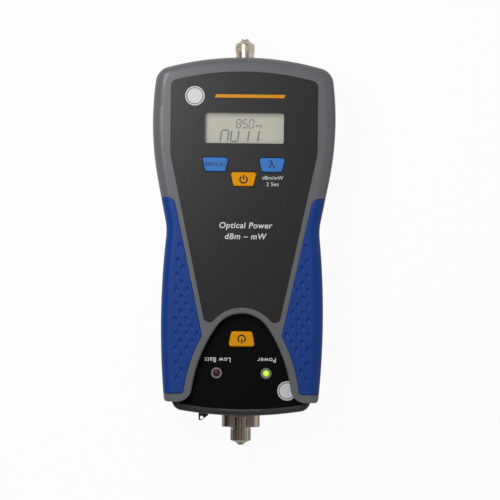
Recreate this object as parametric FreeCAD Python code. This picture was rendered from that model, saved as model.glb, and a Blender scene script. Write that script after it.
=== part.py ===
import FreeCAD, Part
import math
import os

# Hand-held optical power meter with a light-source module docked in its bottom end.
# It lies on its back: +Z points out of the face, +Y towards the meter's port, +X to the right.
# Origin: centre of the flat back. Millimetres throughout.

Vector = FreeCAD.Vector

# ---------------------------------------------------------------- driving dimensions
# Meter body in plan
HEAD_END_Y = 84.0             # end of the head on the centre line
HEAD_END_RADIUS = 132.0       # crown of that end
HEAD_HALF_WIDTH = 41.6
HEAD_SIDE_RADIUS = 142.0      # bulge of the head's sides
HEAD_WIDEST_Y = 55.0
HEAD_CORNER_RADIUS = 7.6
TAPER_ANGLE = 11.2            # sides between head and waist, degrees
WAIST_RADIUS = 25.0
HIP_HALF_WIDTH = 36.9
HIP_RADIUS = 375.0            # bulge of the lower body's sides
HIP_WIDEST_Y = -36.0
PRONG_END_Y = -73.0

# Shell walls and edges
WALL = 2.2                    # sides and back
FACE_WALL = 2.8               # front, panel recess included
EDGE_RADIUS = 4.5             # front edge all round
BACK_EDGE_RADIUS = 3.0
PARTING_Z = 18.0              # the two shells meet on the port's axis
FRAME_THICKNESS = 4.1         # front frame over the dock
DOCK_FLOOR = 3.0
DOCK_CLEARANCE = 0.3          # source module to dock, all round
DIVIDER = 2.0                 # wall between the dock and the electronics

# Face panel, let into the frame
PANEL_TOP_BAND = 6.6          # frame left above the panel
PANEL_HALF_WIDTH = 33.4
PANEL_SHOULDER_Y = HEAD_END_Y - 44.0  # the panel's sides taper from here down
PANEL_TAPER = 12.05
PANEL_FOOT_Y = -36.6
PANEL_CORNER_RADIUS = 3.0
PANEL_FOOT_RADIUS = 2.4
PANEL_THICKNESS = 1.0
PANEL_SINK = 0.3              # panel face below the frame
PANEL_GAP = 0.1
ARCH_RADIUS = 17.0            # top of the arch over the dock window
ARCH_TOP_Y = -29.8

# Dock window, a dome open towards the prongs
WINDOW_HALF_WIDTH = 23.2
WINDOW_TOP_Y = -32.6
WINDOW_CENTRE_Y = -76.2       # where the sides run straight along Y
WINDOW_CROWN_RADIUS = 14.0
PRONG_INNER_RADIUS = 7.0
PRONG_OUTER_RADIUS = 2.0
WINDOW_EDGE_CHAMFER = 0.6

# Soft grips
GRIP_THICKNESS = 1.6
GRIP_TOP_Y = 20.0
GRIP_BOTTOM_Y = -69.4
GRIP_INNER_X = 31.46          # inner edge at the grip's top
GRIP_BAND = 3.4               # frame left between dock window and grip
GRIP_LOW_Z = 5.0
GRIP_CORNER_RADIUS = 3.6
GRIP_APEX_RADIUS = 1.2
GRIP_FOOT_RADIUS = 2.0

# Display
DISPLAY_WIDTH = 36.1          # clear opening
DISPLAY_HEIGHT = 13.9
DISPLAY_Y = HEAD_END_Y - 32.2
DISPLAY_CORNER_RADIUS = 1.0
WINDOW_LEDGE = 1.0            # window plate beyond the opening, each side
WINDOW_PLATE = 1.0
GLASS_WIDTH = 44.0
GLASS_HEIGHT = 20.0
GLASS_THICKNESS = 2.2
REFLECTOR_WALL = 2.0
CONNECTOR_WIDTH = 2.2         # rubber strips between glass and board

# Keys
KEY_WIDE = 12.1
KEY_NARROW = 9.2
KEY_HEIGHT = 6.4
KEY_CORNER_RADIUS = 1.2
KEY_EDGE_RADIUS = 0.6
KEY_PROUD = 1.0               # above the panel
KEY_GAP = 0.3                 # key to its hole
KEY_FLANGE = 0.9              # flange beyond the key
KEY_FLANGE_THICKNESS = 0.8
KEY_TRAVEL = 0.8
BLUE_KEY_X = 12.9
BLUE_KEY_Y = DISPLAY_Y - 16.7
POWER_KEY_Y = DISPLAY_Y - 23.3
SWITCH_RADIUS = 2.5
SWITCH_HEIGHT = 0.5

# Boards
BOARD_THICKNESS = 1.6
KEY_ROOM = 5.0                # board to the underside of the front
BOARD_GAP = 1.2               # board edge to shell
BOARD_LOW_Y = -14.0
BOARD_HIGH_Y = HEAD_END_Y - 12.0

# Nine-volt block battery
BATTERY_LENGTH = 46.4
BATTERY_WIDTH = 26.5
BATTERY_THICKNESS = 17.5
BATTERY_CORNER_RADIUS = 2.0
BATTERY_PLAY = 0.3
SNAP_HEIGHT = 2.1
SNAP_PITCH = 12.7
SNAP_RADIUS = 2.8
CONTACT_PLATE = 1.2
BAY_WALL = 1.2
METER_BATTERY_Y = -0.6        # centre line of the meter's battery
DOOR_THICKNESS = 1.8
DOOR_GAP = 0.3
DOOR_SINK = 0.2               # door face inside the back face
DOOR_MARGIN = 1.4             # door beyond the battery

# Case screws
SCREW_HEAD_RADIUS = 2.8
SCREW_HEAD_HEIGHT = 1.8
SCREW_SHANK_RADIUS = 1.45
SCREW_LENGTH = 22.0
SCREW_SEAT = 3.0              # depth of the counterbore
SCREW_PLAY = 0.3
PILOT_PLAY = 0.05
BOSS_RADIUS = 3.4
UPPER_SCREW_MARGIN = 8.8      # screw axis in from the outline
UPPER_SCREW_Y = HEAD_END_Y - 14.0
LOWER_SCREW_MARGIN = 7.8
LOWER_SCREW_Y = 19.5

# Fibre ports, 2.5 mm ferrule
PORT_NECK_RADIUS = 4.5
PORT_BARREL_RADIUS = 3.5
PORT_FLANGE_RADIUS = 6.0
PORT_FLANGE_THICKNESS = 1.6
PORT_FLANGE_Y = HEAD_END_Y - 5.4  # outer face of the captured flange
PORT_INNER_Y = HEAD_END_Y - 12.0
PORT_NECK_END_Y = HEAD_END_Y + 0.3
PORT_BARREL_END_Y = HEAD_END_Y + 4.6
PORT_PLAY = 0.1
SLEEVE_OUTER_RADIUS = 1.6
SLEEVE_INNER_RADIUS = 1.27
SLEEVE_PLAY = 0.05
SLEEVE_LENGTH = 11.0
LIGHT_BORE_RADIUS = 0.9       # from the sleeve to the can
CAN_RADIUS = 2.35             # photodiode and emitter cans
CAN_FLANGE_RADIUS = 2.7
CAN_LENGTH = 3.6
CAN_FLANGE = 0.6
LEAD_RADIUS = 0.25
LEAD_LENGTH = 6.0
LUG_RADIUS = 0.65
LUG_HEIGHT = 0.55
LUG_ANGLE = 31.0              # from straight up, towards the left
LUG_Y = HEAD_END_Y + 1.4

# Meter's dust cap
CAP_START_Y = HEAD_END_Y + 0.5
CAP_SKIRT_RADIUS = 4.1
CAP_SKIRT_LENGTH = 1.9
CAP_GRIP_RADIUS = 4.3
CAP_GRIP_LENGTH = 3.6
CAP_PLAY = 0.15
CAP_ROOF = 1.0
CAP_SHOULDER = 1.2
CAP_STEM_FOOT_RADIUS = 2.0
CAP_STEM_RADIUS = 1.55
CAP_END_Y = HEAD_END_Y + 8.8
CAP_SLOT = 0.8
CAP_SLOT_DEPTH = 1.1
SKIRT_SLOT = 1.6

# Light-source module
SOURCE_HALF_WIDTH = 31.6
SOURCE_END_Y = -79.2
SOURCE_END_RADIUS = 170.0
SOURCE_INNER_Y = -20.3
SOURCE_CORNER_RADIUS = 5.0
SOURCE_INNER_CORNER_RADIUS = 3.0
SOURCE_EDGE_RADIUS = 2.0
SOURCE_BACK_EDGE_RADIUS = 1.5
SOURCE_WALL = 1.8
SOURCE_FACE_WALL = 2.0
SOURCE_BATTERY_ROOM = 1.8     # battery to board
SWITCH_ROOM = 3.4             # board to the underside of the front
SOURCE_PARTING_HEIGHT = 14.2  # above the module's back
SOURCE_RIM = 3.0              # rim left round the module's panel
SOURCE_PANEL_THICKNESS = 0.8
SOURCE_PANEL_SINK = 0.1
SOURCE_PANEL_INNER_Y = -23.0
SOURCE_KEY_Y = -44.2
SOURCE_KEY_WIDE = 12.2
SOURCE_KEY_NARROW = 9.5
SOURCE_KEY_HEIGHT = 6.9
SOURCE_BATTERY_Y = -36.0
SOURCE_BOARD_HALF_WIDTH = 27.0
SOURCE_BOARD_LOW_Y = SOURCE_END_Y + 10.2
SOURCE_BOARD_HIGH_Y = -24.0
SOURCE_SCREW_X = 26.4
SOURCE_SCREW_Y = -56.0
SOURCE_END_SCREW_X = 25.0
SOURCE_END_SCREW_Y = SOURCE_END_Y + 6.0
SOURCE_BOSS_RADIUS = 2.6
SOURCE_SCREW_HEAD_RADIUS = 2.1
SOURCE_SCREW_RADIUS = 1.0
SOURCE_SCREW_LENGTH = 20.0
RAIL_WIDTH = 2.4              # guide rails on the dock's walls
RAIL_HEIGHT = 1.2
RAIL_Z = 10.0
RAIL_PLAY = 0.25

# Indicator lamps
LED_X = 11.3
LED_Y = -59.8
LED_RADIUS = 1.5
LED_FLANGE_RADIUS = 1.9
LED_PROUD = 1.0
LED_RING_RADIUS = 2.5
LED_RING_PROUD = 0.4
LED_PLAY = 0.1

# Source port
COLLAR_RADIUS = 4.7
COLLAR_LENGTH = 5.0
COLLAR_START_Y = SOURCE_END_Y - 0.9
SHANK_RADIUS = 3.2
SHANK_PLAY = 0.1
SHANK_INNER_Y = SOURCE_END_Y + 7.7
OVAL_LENGTH = 17.3            # nickel flange, long way
OVAL_DEPTH = 8.0
OVAL_END_Y = SOURCE_END_Y - 5.4
OVAL_EDGE_RADIUS = 0.5
NUT_RADIUS = 5.0
NUT_THICKNESS = 2.4
NUT_GAP = 0.1                 # the end wall is crowned
SOURCE_BARREL_END_Y = SOURCE_END_Y - 10.0
FLUTE_COUNT = 22
FLUTE_RADIUS = 0.42
SOURCE_CAP_RADIUS = 4.65
SOURCE_CAP_START_Y = SOURCE_END_Y - 6.1
SOURCE_CAP_SKIRT_END_Y = SOURCE_END_Y - 11.4
SOURCE_CAP_END_Y = SOURCE_END_Y - 13.6
SOURCE_CAP_STEM_FOOT_RADIUS = 2.0
SOURCE_CAP_STEM_RADIUS = 1.1

# Lanyard eyelet on the source
EYELET_X = -17.1
EYELET_WIDTH = 4.4
EYELET_REACH = 2.3
EYELET_HOLE_RADIUS = 0.8
EYELET_THICKNESS = 2.0
EYELET_Z = 24.0

# ---------------------------------------------------------------- levels worked out from them
BACK_Z = 0.0
SOURCE_BACK_Z = DOCK_FLOOR + DOCK_CLEARANCE
SOURCE_BATTERY_Z = SOURCE_BACK_Z + SOURCE_WALL + BATTERY_PLAY
SOURCE_BOARD_Z = SOURCE_BATTERY_Z + BATTERY_THICKNESS + SOURCE_BATTERY_ROOM
SOURCE_UNDERSIDE_Z = SOURCE_BOARD_Z + BOARD_THICKNESS + SWITCH_ROOM
SOURCE_FACE_Z = SOURCE_UNDERSIDE_Z + SOURCE_FACE_WALL
SOURCE_PANEL_Z = SOURCE_FACE_Z - SOURCE_PANEL_SINK
SOURCE_PARTING_Z = SOURCE_BACK_Z + SOURCE_PARTING_HEIGHT
DOCK_ROOF_Z = SOURCE_FACE_Z + DOCK_CLEARANCE
FACE_Z = DOCK_ROOF_Z + FRAME_THICKNESS
PANEL_Z = FACE_Z - PANEL_SINK
PANEL_SEAT_Z = PANEL_Z - PANEL_THICKNESS
UNDERSIDE_Z = FACE_Z - FACE_WALL
BOARD_TOP_Z = UNDERSIDE_Z - KEY_ROOM
BOARD_Z = BOARD_TOP_Z - BOARD_THICKNESS
DOCK_END_Y = SOURCE_INNER_Y + DOCK_CLEARANCE
ELECTRONICS_Y = DOCK_END_Y + DIVIDER
METER_BATTERY_Z = DOOR_SINK + DOOR_THICKNESS + BATTERY_PLAY
BATTERY_REACH = BATTERY_LENGTH + SNAP_HEIGHT
REACH = 400.0                 # tool length, past anything here


# ---------------------------------------------------------------- general shapes
def mirrored(point):
    """The same point on the left of the centre line."""
    return Vector(-point.x, point.y, point.z)


def block(low_x, high_x, low_y, high_y, low_z, high_z):
    return Part.makeBox(high_x - low_x, high_y - low_y, high_z - low_z, Vector(low_x, low_y, low_z))


def cylinder_z(x, y, radius, low_z, high_z):
    return Part.makeCylinder(radius, high_z - low_z, Vector(x, y, low_z))


def cylinder_y(radius, low_y, high_y, z, x=0.0):
    return Part.makeCylinder(radius, high_y - low_y, Vector(x, low_y, z), Vector(0, 1, 0))


def prism(edges, low_z, high_z):
    """Upright prism on a closed outline drawn at height zero."""
    face = Part.Face(Part.Wire(Part.__sortEdges__(edges)))
    face.translate(Vector(0, 0, low_z))
    return face.extrude(Vector(0, 0, high_z - low_z))


def polygon_prism(points, low_z, high_z):
    corners = [Vector(x, y, 0) for x, y in points]
    edges = [Part.makeLine(a, b) for a, b in zip(corners, corners[1:] + corners[:1])]
    return prism(edges, low_z, high_z)


def upright_edges(solid, wanted):
    """Edges that run straight up, where wanted(x, y) is true."""
    found = []
    for edge in solid.Edges:
        box = edge.BoundBox
        if box.XLength < 1e-4 and box.YLength < 1e-4 and wanted(box.Center.x, box.Center.y):
            found.append(edge)
    return found


def level_edges(solid, z, wanted=lambda x, y: True):
    """Edges that lie flat at height z, where wanted(x, y) is true of their middle."""
    found = []
    for edge in solid.Edges:
        box = edge.BoundBox
        middle = edge.valueAt((edge.FirstParameter + edge.LastParameter) / 2)
        if abs(box.ZMin - z) < 1e-4 and abs(box.ZMax - z) < 1e-4 and wanted(middle.x, middle.y):
            found.append(edge)
    return found


def foot_face(solid):
    """The flat face under a prism."""
    level = [face for face in solid.Faces if abs(face.normalAt(0, 0).z) > 0.999 and face.BoundBox.ZLength < 0.01]
    return min(level, key=lambda face: face.CenterOfMass.z)


def grown_prism(solid, gap, low_z, high_z):
    """A prism on the same outline, gap wider all round."""
    face = foot_face(solid).makeOffset2D(gap)
    face.translate(Vector(0, 0, low_z - face.CenterOfMass.z))
    return face.extrude(Vector(0, 0, high_z - low_z))


def revolved_y(profile, z, x=0.0):
    """Solid turned about an axis along Y; the profile is a list of (y, radius)."""
    points = [Vector(x + radius, y, z) for y, radius in profile]
    edges = [Part.makeLine(a, b) for a, b in zip(points, points[1:] + points[:1])]
    face = Part.Face(Part.Wire(edges))
    return face.revolve(Vector(x, 0, z), Vector(0, 1, 0), 360)


def revolved_z(profile, x, y):
    """Solid turned about an upright axis; the profile is a list of (radius, z)."""
    points = [Vector(x + radius, y, z) for radius, z in profile]
    edges = [Part.makeLine(a, b) for a, b in zip(points, points[1:] + points[:1])]
    face = Part.Face(Part.Wire(edges))
    return face.revolve(Vector(x, y, 0), Vector(0, 0, 1), 360)


def save(name, shape):
    shape.exportStep("parts/" + name + ".step")


# ---------------------------------------------------------------- meter body
def head_side_point(angle, inset=0.0):
    """Point on the bulged side of the head; angle zero is its widest place."""
    turn = math.radians(angle)
    centre = Vector(HEAD_HALF_WIDTH - HEAD_SIDE_RADIUS, HEAD_WIDEST_Y, 0)
    return centre + Vector(math.cos(turn), math.sin(turn), 0) * (HEAD_SIDE_RADIUS - inset)


def head_half_width(y):
    """Half of the width across the head at y, on its bulged sides or the taper below them."""
    taper_start = head_side_point(-TAPER_ANGLE)
    if y < taper_start.y:
        return taper_start.x - (taper_start.y - y) * math.tan(math.radians(TAPER_ANGLE))
    across = math.sqrt(HEAD_SIDE_RADIUS ** 2 - (y - HEAD_WIDEST_Y) ** 2)
    return HEAD_HALF_WIDTH - HEAD_SIDE_RADIUS + across


def hip_side_point(y, inset=0.0):
    """Point on the bulged side of the lower body."""
    across = math.sqrt((HIP_RADIUS - inset) ** 2 - (y - HIP_WIDEST_Y) ** 2)
    return Vector(HIP_HALF_WIDTH - HIP_RADIUS + across, y, 0)


def mirrored_outline(top, middle, end, low):
    """Both sides of an outline: an arc through three points, then a line down to low."""
    sides = [Part.Arc(top, middle, end).toShape()]
    sides.append(Part.Arc(mirrored(end), mirrored(middle), mirrored(top)).toShape())
    sides.append(Part.makeLine(mirrored(top), top))
    if low != end:
        sides.append(Part.makeLine(end, low))
        sides.append(Part.makeLine(mirrored(low), mirrored(end)))
    sides.append(Part.makeLine(low, mirrored(low)))
    return sides


def meter_plan(low_z, high_z, inset=0.0):
    """Upright prism on the meter's outline, or inside it, still running on past the prong ends."""
    run_on_y = PRONG_END_Y - 15.0
    overlap_y = (GRIP_TOP_Y + HEAD_WIDEST_Y) / 2
    top_angle = math.degrees(math.asin((HEAD_END_Y - HEAD_WIDEST_Y) / (HEAD_SIDE_RADIUS - inset)))
    end = head_side_point(-TAPER_ANGLE, inset)
    taper = math.radians(TAPER_ANGLE)
    taper_run = (end.y - HIP_WIDEST_Y) / math.cos(taper)
    low = end - Vector(math.sin(taper), math.cos(taper), 0) * taper_run
    sides = mirrored_outline(head_side_point(top_angle, inset), head_side_point(0, inset), end, low)
    crown = cylinder_z(0, HEAD_END_Y - HEAD_END_RADIUS, HEAD_END_RADIUS - inset, low_z, high_z)
    head = prism(sides, low_z, high_z).common(crown)
    foot = hip_side_point(run_on_y, inset)
    hips = mirrored_outline(hip_side_point(overlap_y, inset), hip_side_point(HIP_WIDEST_Y, inset), foot, foot)
    plan = head.fuse(prism(hips, low_z, high_z)).removeSplitter()
    waist = upright_edges(plan, lambda x, y: HIP_WIDEST_Y + 10 < y < overlap_y - 5)
    plan = plan.makeFillet(WAIST_RADIUS + inset, waist)
    corners = upright_edges(plan, lambda x, y: y > HEAD_WIDEST_Y + HEAD_CORNER_RADIUS)
    return plan.makeFillet(HEAD_CORNER_RADIUS - inset, corners)


def meter_block(inset):
    """The whole meter as one rounded block, or its core when inset."""
    top = FACE_Z - inset
    plan = meter_plan(BACK_Z, top, inset)
    not_open_end = lambda x, y: y > PRONG_END_Y - 10
    solid = plan.makeFillet(EDGE_RADIUS - inset, level_edges(plan, top, not_open_end))
    if inset > 0:
        return solid
    return solid.makeFillet(BACK_EDGE_RADIUS, level_edges(solid, BACK_Z, not_open_end))


def window_centres():
    """Centres of the dome's crown arc and right side arc, and the side arc's radius."""
    crown = Vector(0, WINDOW_TOP_Y - WINDOW_CROWN_RADIUS, 0)
    rise = crown.y - WINDOW_CENTRE_Y
    offset = WINDOW_HALF_WIDTH - WINDOW_CROWN_RADIUS
    side_radius = WINDOW_CROWN_RADIUS + (rise ** 2 + offset ** 2) / (2 * offset)
    side_centre = Vector(WINDOW_HALF_WIDTH - side_radius, WINDOW_CENTRE_Y, 0)
    return crown, side_centre, side_radius


def dock_window(grow, low_z, high_z):
    """Domed opening over the docked source: a small arc on top, two long arcs down the sides."""
    crown, side_centre, side_radius = window_centres()
    outward = (crown - side_centre).normalize()
    top = Vector(0, WINDOW_TOP_Y + grow, 0)
    meet = crown + outward * (WINDOW_CROWN_RADIUS + grow)
    foot = side_centre + Vector(side_radius + grow, 0, 0)
    middle = side_centre + (outward + Vector(1, 0, 0)).normalize() * (side_radius + grow)
    low = foot - Vector(0, HIP_HALF_WIDTH, 0)
    edges = [Part.Arc(meet, top, mirrored(meet)).toShape(), Part.Arc(foot, middle, meet).toShape()]
    edges.append(Part.Arc(mirrored(meet), mirrored(middle), mirrored(foot)).toShape())
    edges += [Part.makeLine(mirrored(foot), mirrored(low)), Part.makeLine(mirrored(low), low)]
    edges.append(Part.makeLine(low, foot))
    return prism(edges, low_z, high_z)


def corner_cutter(centre_x, radius, inner, low_z):
    """Tool that rounds a prong's corner: a box less a cylinder; inner means towards the centre line."""
    centre_y = PRONG_END_Y + radius
    reach = radius + 3.0
    low_x = centre_x - reach if inner else centre_x
    corner = block(low_x, low_x + reach, PRONG_END_Y - 5, centre_y, low_z, REACH)
    return corner.cut(cylinder_z(centre_x, centre_y, radius, low_z, REACH))


def prong_corners():
    """Cutters for the outer corners of the prong ends and their flared inner corners."""
    outer_x = hip_side_point(PRONG_END_Y + PRONG_OUTER_RADIUS).x - PRONG_OUTER_RADIUS
    crown, side_centre, side_radius = window_centres()
    rise = PRONG_END_Y + PRONG_INNER_RADIUS - side_centre.y
    inner_x = side_centre.x + math.sqrt(side_radius ** 2 - rise ** 2) + PRONG_INNER_RADIUS
    right = [corner_cutter(outer_x, PRONG_OUTER_RADIUS, False, -REACH)]
    right.append(corner_cutter(inner_x, PRONG_INNER_RADIUS, True, DOCK_ROOF_Z))
    return right + [tool.mirror(Vector(0, 0, 0), Vector(1, 0, 0)) for tool in right]


def dock_pocket(low_z, high_z):
    """Space for the source, clearance included, open towards -Y."""
    half = SOURCE_HALF_WIDTH + DOCK_CLEARANCE
    pocket = block(-half, half, -REACH, DOCK_END_Y, low_z, high_z)
    inner = upright_edges(pocket, lambda x, y: y > DOCK_END_Y - 1)
    return pocket.makeFillet(SOURCE_INNER_CORNER_RADIUS + DOCK_CLEARANCE, inner)


def shaped_block():
    """Outer form of the two shells: prong ends cut, dock window opened and its edges eased."""
    solid = meter_block(0).cut(dock_window(0, DOCK_ROOF_Z, REACH))
    rim = level_edges(solid, FACE_Z, lambda x, y: abs(x) < WINDOW_HALF_WIDTH + 1 and y < WINDOW_TOP_Y + 1)
    rim = [edge for edge in rim if edge.BoundBox.YLength > 0.1]
    solid = solid.makeChamfer(WINDOW_EDGE_CHAMFER, rim)
    solid = solid.cut(block(-REACH, REACH, -REACH, PRONG_END_Y, -REACH, REACH))
    for corner in prong_corners():
        solid = solid.cut(corner)
    return solid


def side_hollow(low_z, high_z):
    """Inside of the electronics space: thin walls round the head, thicker behind the grips."""
    split_y = GRIP_TOP_Y + WALL
    head = meter_plan(low_z, high_z, WALL).common(block(-REACH, REACH, split_y, REACH, low_z, high_z))
    waist = meter_plan(low_z, high_z, WALL + GRIP_THICKNESS)
    return head.fuse(waist.common(block(-REACH, REACH, ELECTRONICS_Y, split_y, low_z, high_z)))


def screw_places():
    """Plan positions of the meter's case screws."""
    upper_x = head_half_width(UPPER_SCREW_Y) - UPPER_SCREW_MARGIN
    lower_x = head_half_width(LOWER_SCREW_Y) - LOWER_SCREW_MARGIN
    places = []
    for side in (-1, 1):
        places.append((side * upper_x, UPPER_SCREW_Y))
        places.append((side * lower_x, LOWER_SCREW_Y))
    return places


def port_saddle(low_z, high_z):
    """Block inside the head that holds one half of the port."""
    half = PORT_FLANGE_RADIUS + WALL
    low_y = PORT_FLANGE_Y - PORT_FLANGE_THICKNESS - WALL
    return block(-half, half, low_y, HEAD_END_Y - WALL / 2, low_z, high_z)


def port_seat():
    """Space that the port body needs in the shells."""
    low_y = PORT_FLANGE_Y - PORT_FLANGE_THICKNESS
    seat = cylinder_y(PORT_NECK_RADIUS + PORT_PLAY, PORT_INNER_Y - REACH / 4, HEAD_END_Y + 5, PARTING_Z)
    flange = cylinder_y(PORT_FLANGE_RADIUS + PORT_PLAY, low_y, PORT_FLANGE_Y, PARTING_Z)
    return seat.fuse(flange)


def key_outline(x, y, wide, narrow, height, wide_end, low_z, high_z):
    """Prism with a key's tapered outline; wide_end is +1 when the wide side is towards +Y."""
    top = y + wide_end * height / 2
    foot = y - wide_end * height / 2
    points = [(x - wide / 2, top), (x + wide / 2, top), (x + narrow / 2, foot), (x - narrow / 2, foot)]
    solid = polygon_prism(points, low_z, high_z)
    return solid.makeFillet(KEY_CORNER_RADIUS, upright_edges(solid, lambda px, py: True))


METER_KEYS = {
    "key_left": (-BLUE_KEY_X, BLUE_KEY_Y),
    "key_right": (BLUE_KEY_X, BLUE_KEY_Y),
    "key_power": (0.0, POWER_KEY_Y),
}


def meter_key_outline(name, low_z, high_z):
    x, y = METER_KEYS[name]
    return key_outline(x, y, KEY_WIDE, KEY_NARROW, KEY_HEIGHT, 1, low_z, high_z)


def source_key_outline(low_z, high_z):
    return key_outline(0.0, SOURCE_KEY_Y, SOURCE_KEY_WIDE, SOURCE_KEY_NARROW, SOURCE_KEY_HEIGHT, -1, low_z, high_z)


def display_prism(margin, low_z, high_z):
    """Rounded rectangle of the display opening, optionally wider."""
    half_x = DISPLAY_WIDTH / 2 + margin
    half_y = DISPLAY_HEIGHT / 2 + margin
    solid = block(-half_x, half_x, DISPLAY_Y - half_y, DISPLAY_Y + half_y, low_z, high_z)
    return solid.makeFillet(DISPLAY_CORNER_RADIUS + margin, upright_edges(solid, lambda x, y: True))


def panel_prism(low_z, high_z):
    """Face panel's outline: straight sides, a taper, and a foot that clears the arch."""
    taper = math.tan(math.radians(PANEL_TAPER))
    foot_half = PANEL_HALF_WIDTH - (PANEL_SHOULDER_Y - PANEL_FOOT_Y) * taper
    right = [(PANEL_HALF_WIDTH, HEAD_END_Y), (PANEL_HALF_WIDTH, PANEL_SHOULDER_Y), (foot_half, PANEL_FOOT_Y)]
    left = [(-x, y) for x, y in reversed(right)]
    solid = polygon_prism(right + left, low_z, high_z)
    crown = HEAD_END_RADIUS - PANEL_TOP_BAND
    solid = solid.common(cylinder_z(0, HEAD_END_Y - HEAD_END_RADIUS, crown, low_z, high_z))
    solid = solid.cut(cylinder_z(0, ARCH_TOP_Y - ARCH_RADIUS, ARCH_RADIUS, low_z, high_z))
    top = upright_edges(solid, lambda x, y: y > PANEL_SHOULDER_Y + 5)
    solid = solid.makeFillet(PANEL_CORNER_RADIUS, top)
    foot = upright_edges(solid, lambda x, y: y < PANEL_FOOT_Y + 1)
    solid = solid.makeFillet(PANEL_FOOT_RADIUS, foot)
    shoulder = upright_edges(solid, lambda x, y: abs(y - PANEL_SHOULDER_Y) < 1)
    return solid.makeFillet(HEAD_SIDE_RADIUS / 5, shoulder)


# ---------------------------------------------------------------- grips
def grip_region():
    """Plan of the right grip: a straight inner edge, then a hollow one parallel to the dock window."""
    taper = math.tan(math.radians(PANEL_TAPER))
    apex_x = GRIP_INNER_X - (GRIP_TOP_Y - GRIP_BOTTOM_Y) * taper
    edge_x = HEAD_HALF_WIDTH + 5
    points = [(GRIP_INNER_X, GRIP_TOP_Y), (edge_x, GRIP_TOP_Y), (edge_x, GRIP_BOTTOM_Y), (apex_x, GRIP_BOTTOM_Y)]
    solid = polygon_prism(points, GRIP_LOW_Z, FACE_Z + 1)
    solid = solid.cut(dock_window(GRIP_BAND, GRIP_LOW_Z, FACE_Z + 1))
    solid = max(solid.Solids, key=lambda part: part.Volume)
    corner = upright_edges(solid, lambda x, y: x < edge_x - 1 and y > GRIP_TOP_Y - 1)
    solid = solid.makeFillet(GRIP_CORNER_RADIUS, corner)
    foot = upright_edges(solid, lambda x, y: x < edge_x - 1 and y < GRIP_BOTTOM_Y + 1)
    solid = solid.makeFillet(GRIP_FOOT_RADIUS, foot)
    apex = upright_edges(solid, lambda x, y: x < WINDOW_HALF_WIDTH - 2 and GRIP_BOTTOM_Y + 5 < y)
    return solid.makeFillet(GRIP_APEX_RADIUS, apex)


def make_grips():
    """Both grips: a skin of the body, cut to the region's outline."""
    right = meter_block(0).common(grip_region()).cut(meter_block(GRIP_THICKNESS))
    left = right.mirror(Vector(0, 0, 0), Vector(1, 0, 0))
    return left, right


# ---------------------------------------------------------------- shells of the meter
def make_front_cover(outer, grips):
    """Front frame: arch, two prongs, panel recess, and the dock's roof."""
    cover = outer.common(block(-REACH, REACH, -REACH, REACH, PARTING_Z, REACH))
    cover = cover.cut(side_hollow(PARTING_Z, UNDERSIDE_Z))
    cover = cover.fuse(port_saddle(PARTING_Z, PARTING_Z + PORT_FLANGE_RADIUS + WALL))
    for x, y in screw_places():
        cover = cover.fuse(cylinder_z(x, y, BOSS_RADIUS, PARTING_Z, UNDERSIDE_Z))
    tools = [dock_pocket(PARTING_Z, DOCK_ROOF_Z), port_seat()]
    tools.append(grown_prism(panel_prism(0, 1), PANEL_GAP, PANEL_SEAT_Z, REACH))
    tools.append(display_prism(WINDOW_LEDGE, PANEL_SEAT_Z - WINDOW_PLATE, REACH))
    tools.append(display_prism(0, BACK_Z, REACH))
    for name in METER_KEYS:
        tools.append(grown_prism(meter_key_outline(name, 0, 1), KEY_GAP, UNDERSIDE_Z - 1, REACH))
    for x, y in screw_places():
        tools.append(cylinder_z(x, y, SCREW_SHANK_RADIUS + PILOT_PLAY, BACK_Z, SCREW_SEAT + SCREW_LENGTH + 1))
    for tool in tools + list(grips):
        cover = cover.cut(tool)
    return cover


def battery_bay():
    """Walled box that holds the meter's battery, open at the back."""
    half_x = BATTERY_REACH / 2 + CONTACT_PLATE + BATTERY_PLAY + BAY_WALL
    half_y = BATTERY_WIDTH / 2 + BATTERY_PLAY + BAY_WALL
    top = METER_BATTERY_Z + BATTERY_THICKNESS + BATTERY_PLAY + BAY_WALL
    walls = block(-half_x, half_x, METER_BATTERY_Y - half_y, METER_BATTERY_Y + half_y, BACK_Z + WALL / 2, top)
    return walls


def battery_space():
    """Room inside the bay."""
    half_x = BATTERY_REACH / 2 + CONTACT_PLATE + BATTERY_PLAY
    half_y = BATTERY_WIDTH / 2 + BATTERY_PLAY
    top = METER_BATTERY_Z + BATTERY_THICKNESS + BATTERY_PLAY
    return block(-half_x, half_x, METER_BATTERY_Y - half_y, METER_BATTERY_Y + half_y, -1, top)


def door_half_sizes():
    half_x = BATTERY_REACH / 2 + CONTACT_PLATE + BATTERY_PLAY + DOOR_MARGIN
    half_y = BATTERY_WIDTH / 2 + BATTERY_PLAY + DOOR_MARGIN
    return half_x, half_y


def dock_rails():
    """Two guide rails on the dock's side walls."""
    wall_x = SOURCE_HALF_WIDTH + DOCK_CLEARANCE
    rails = []
    for side in (-1, 1):
        inner_x = side * (wall_x - RAIL_HEIGHT)
        outer_x = side * (wall_x + WALL / 2)
        low_x, high_x = sorted((inner_x, outer_x))
        rails.append(block(low_x, high_x, PRONG_END_Y + 4, DOCK_END_Y + 1, RAIL_Z, RAIL_Z + RAIL_WIDTH))
    return rails


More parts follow.
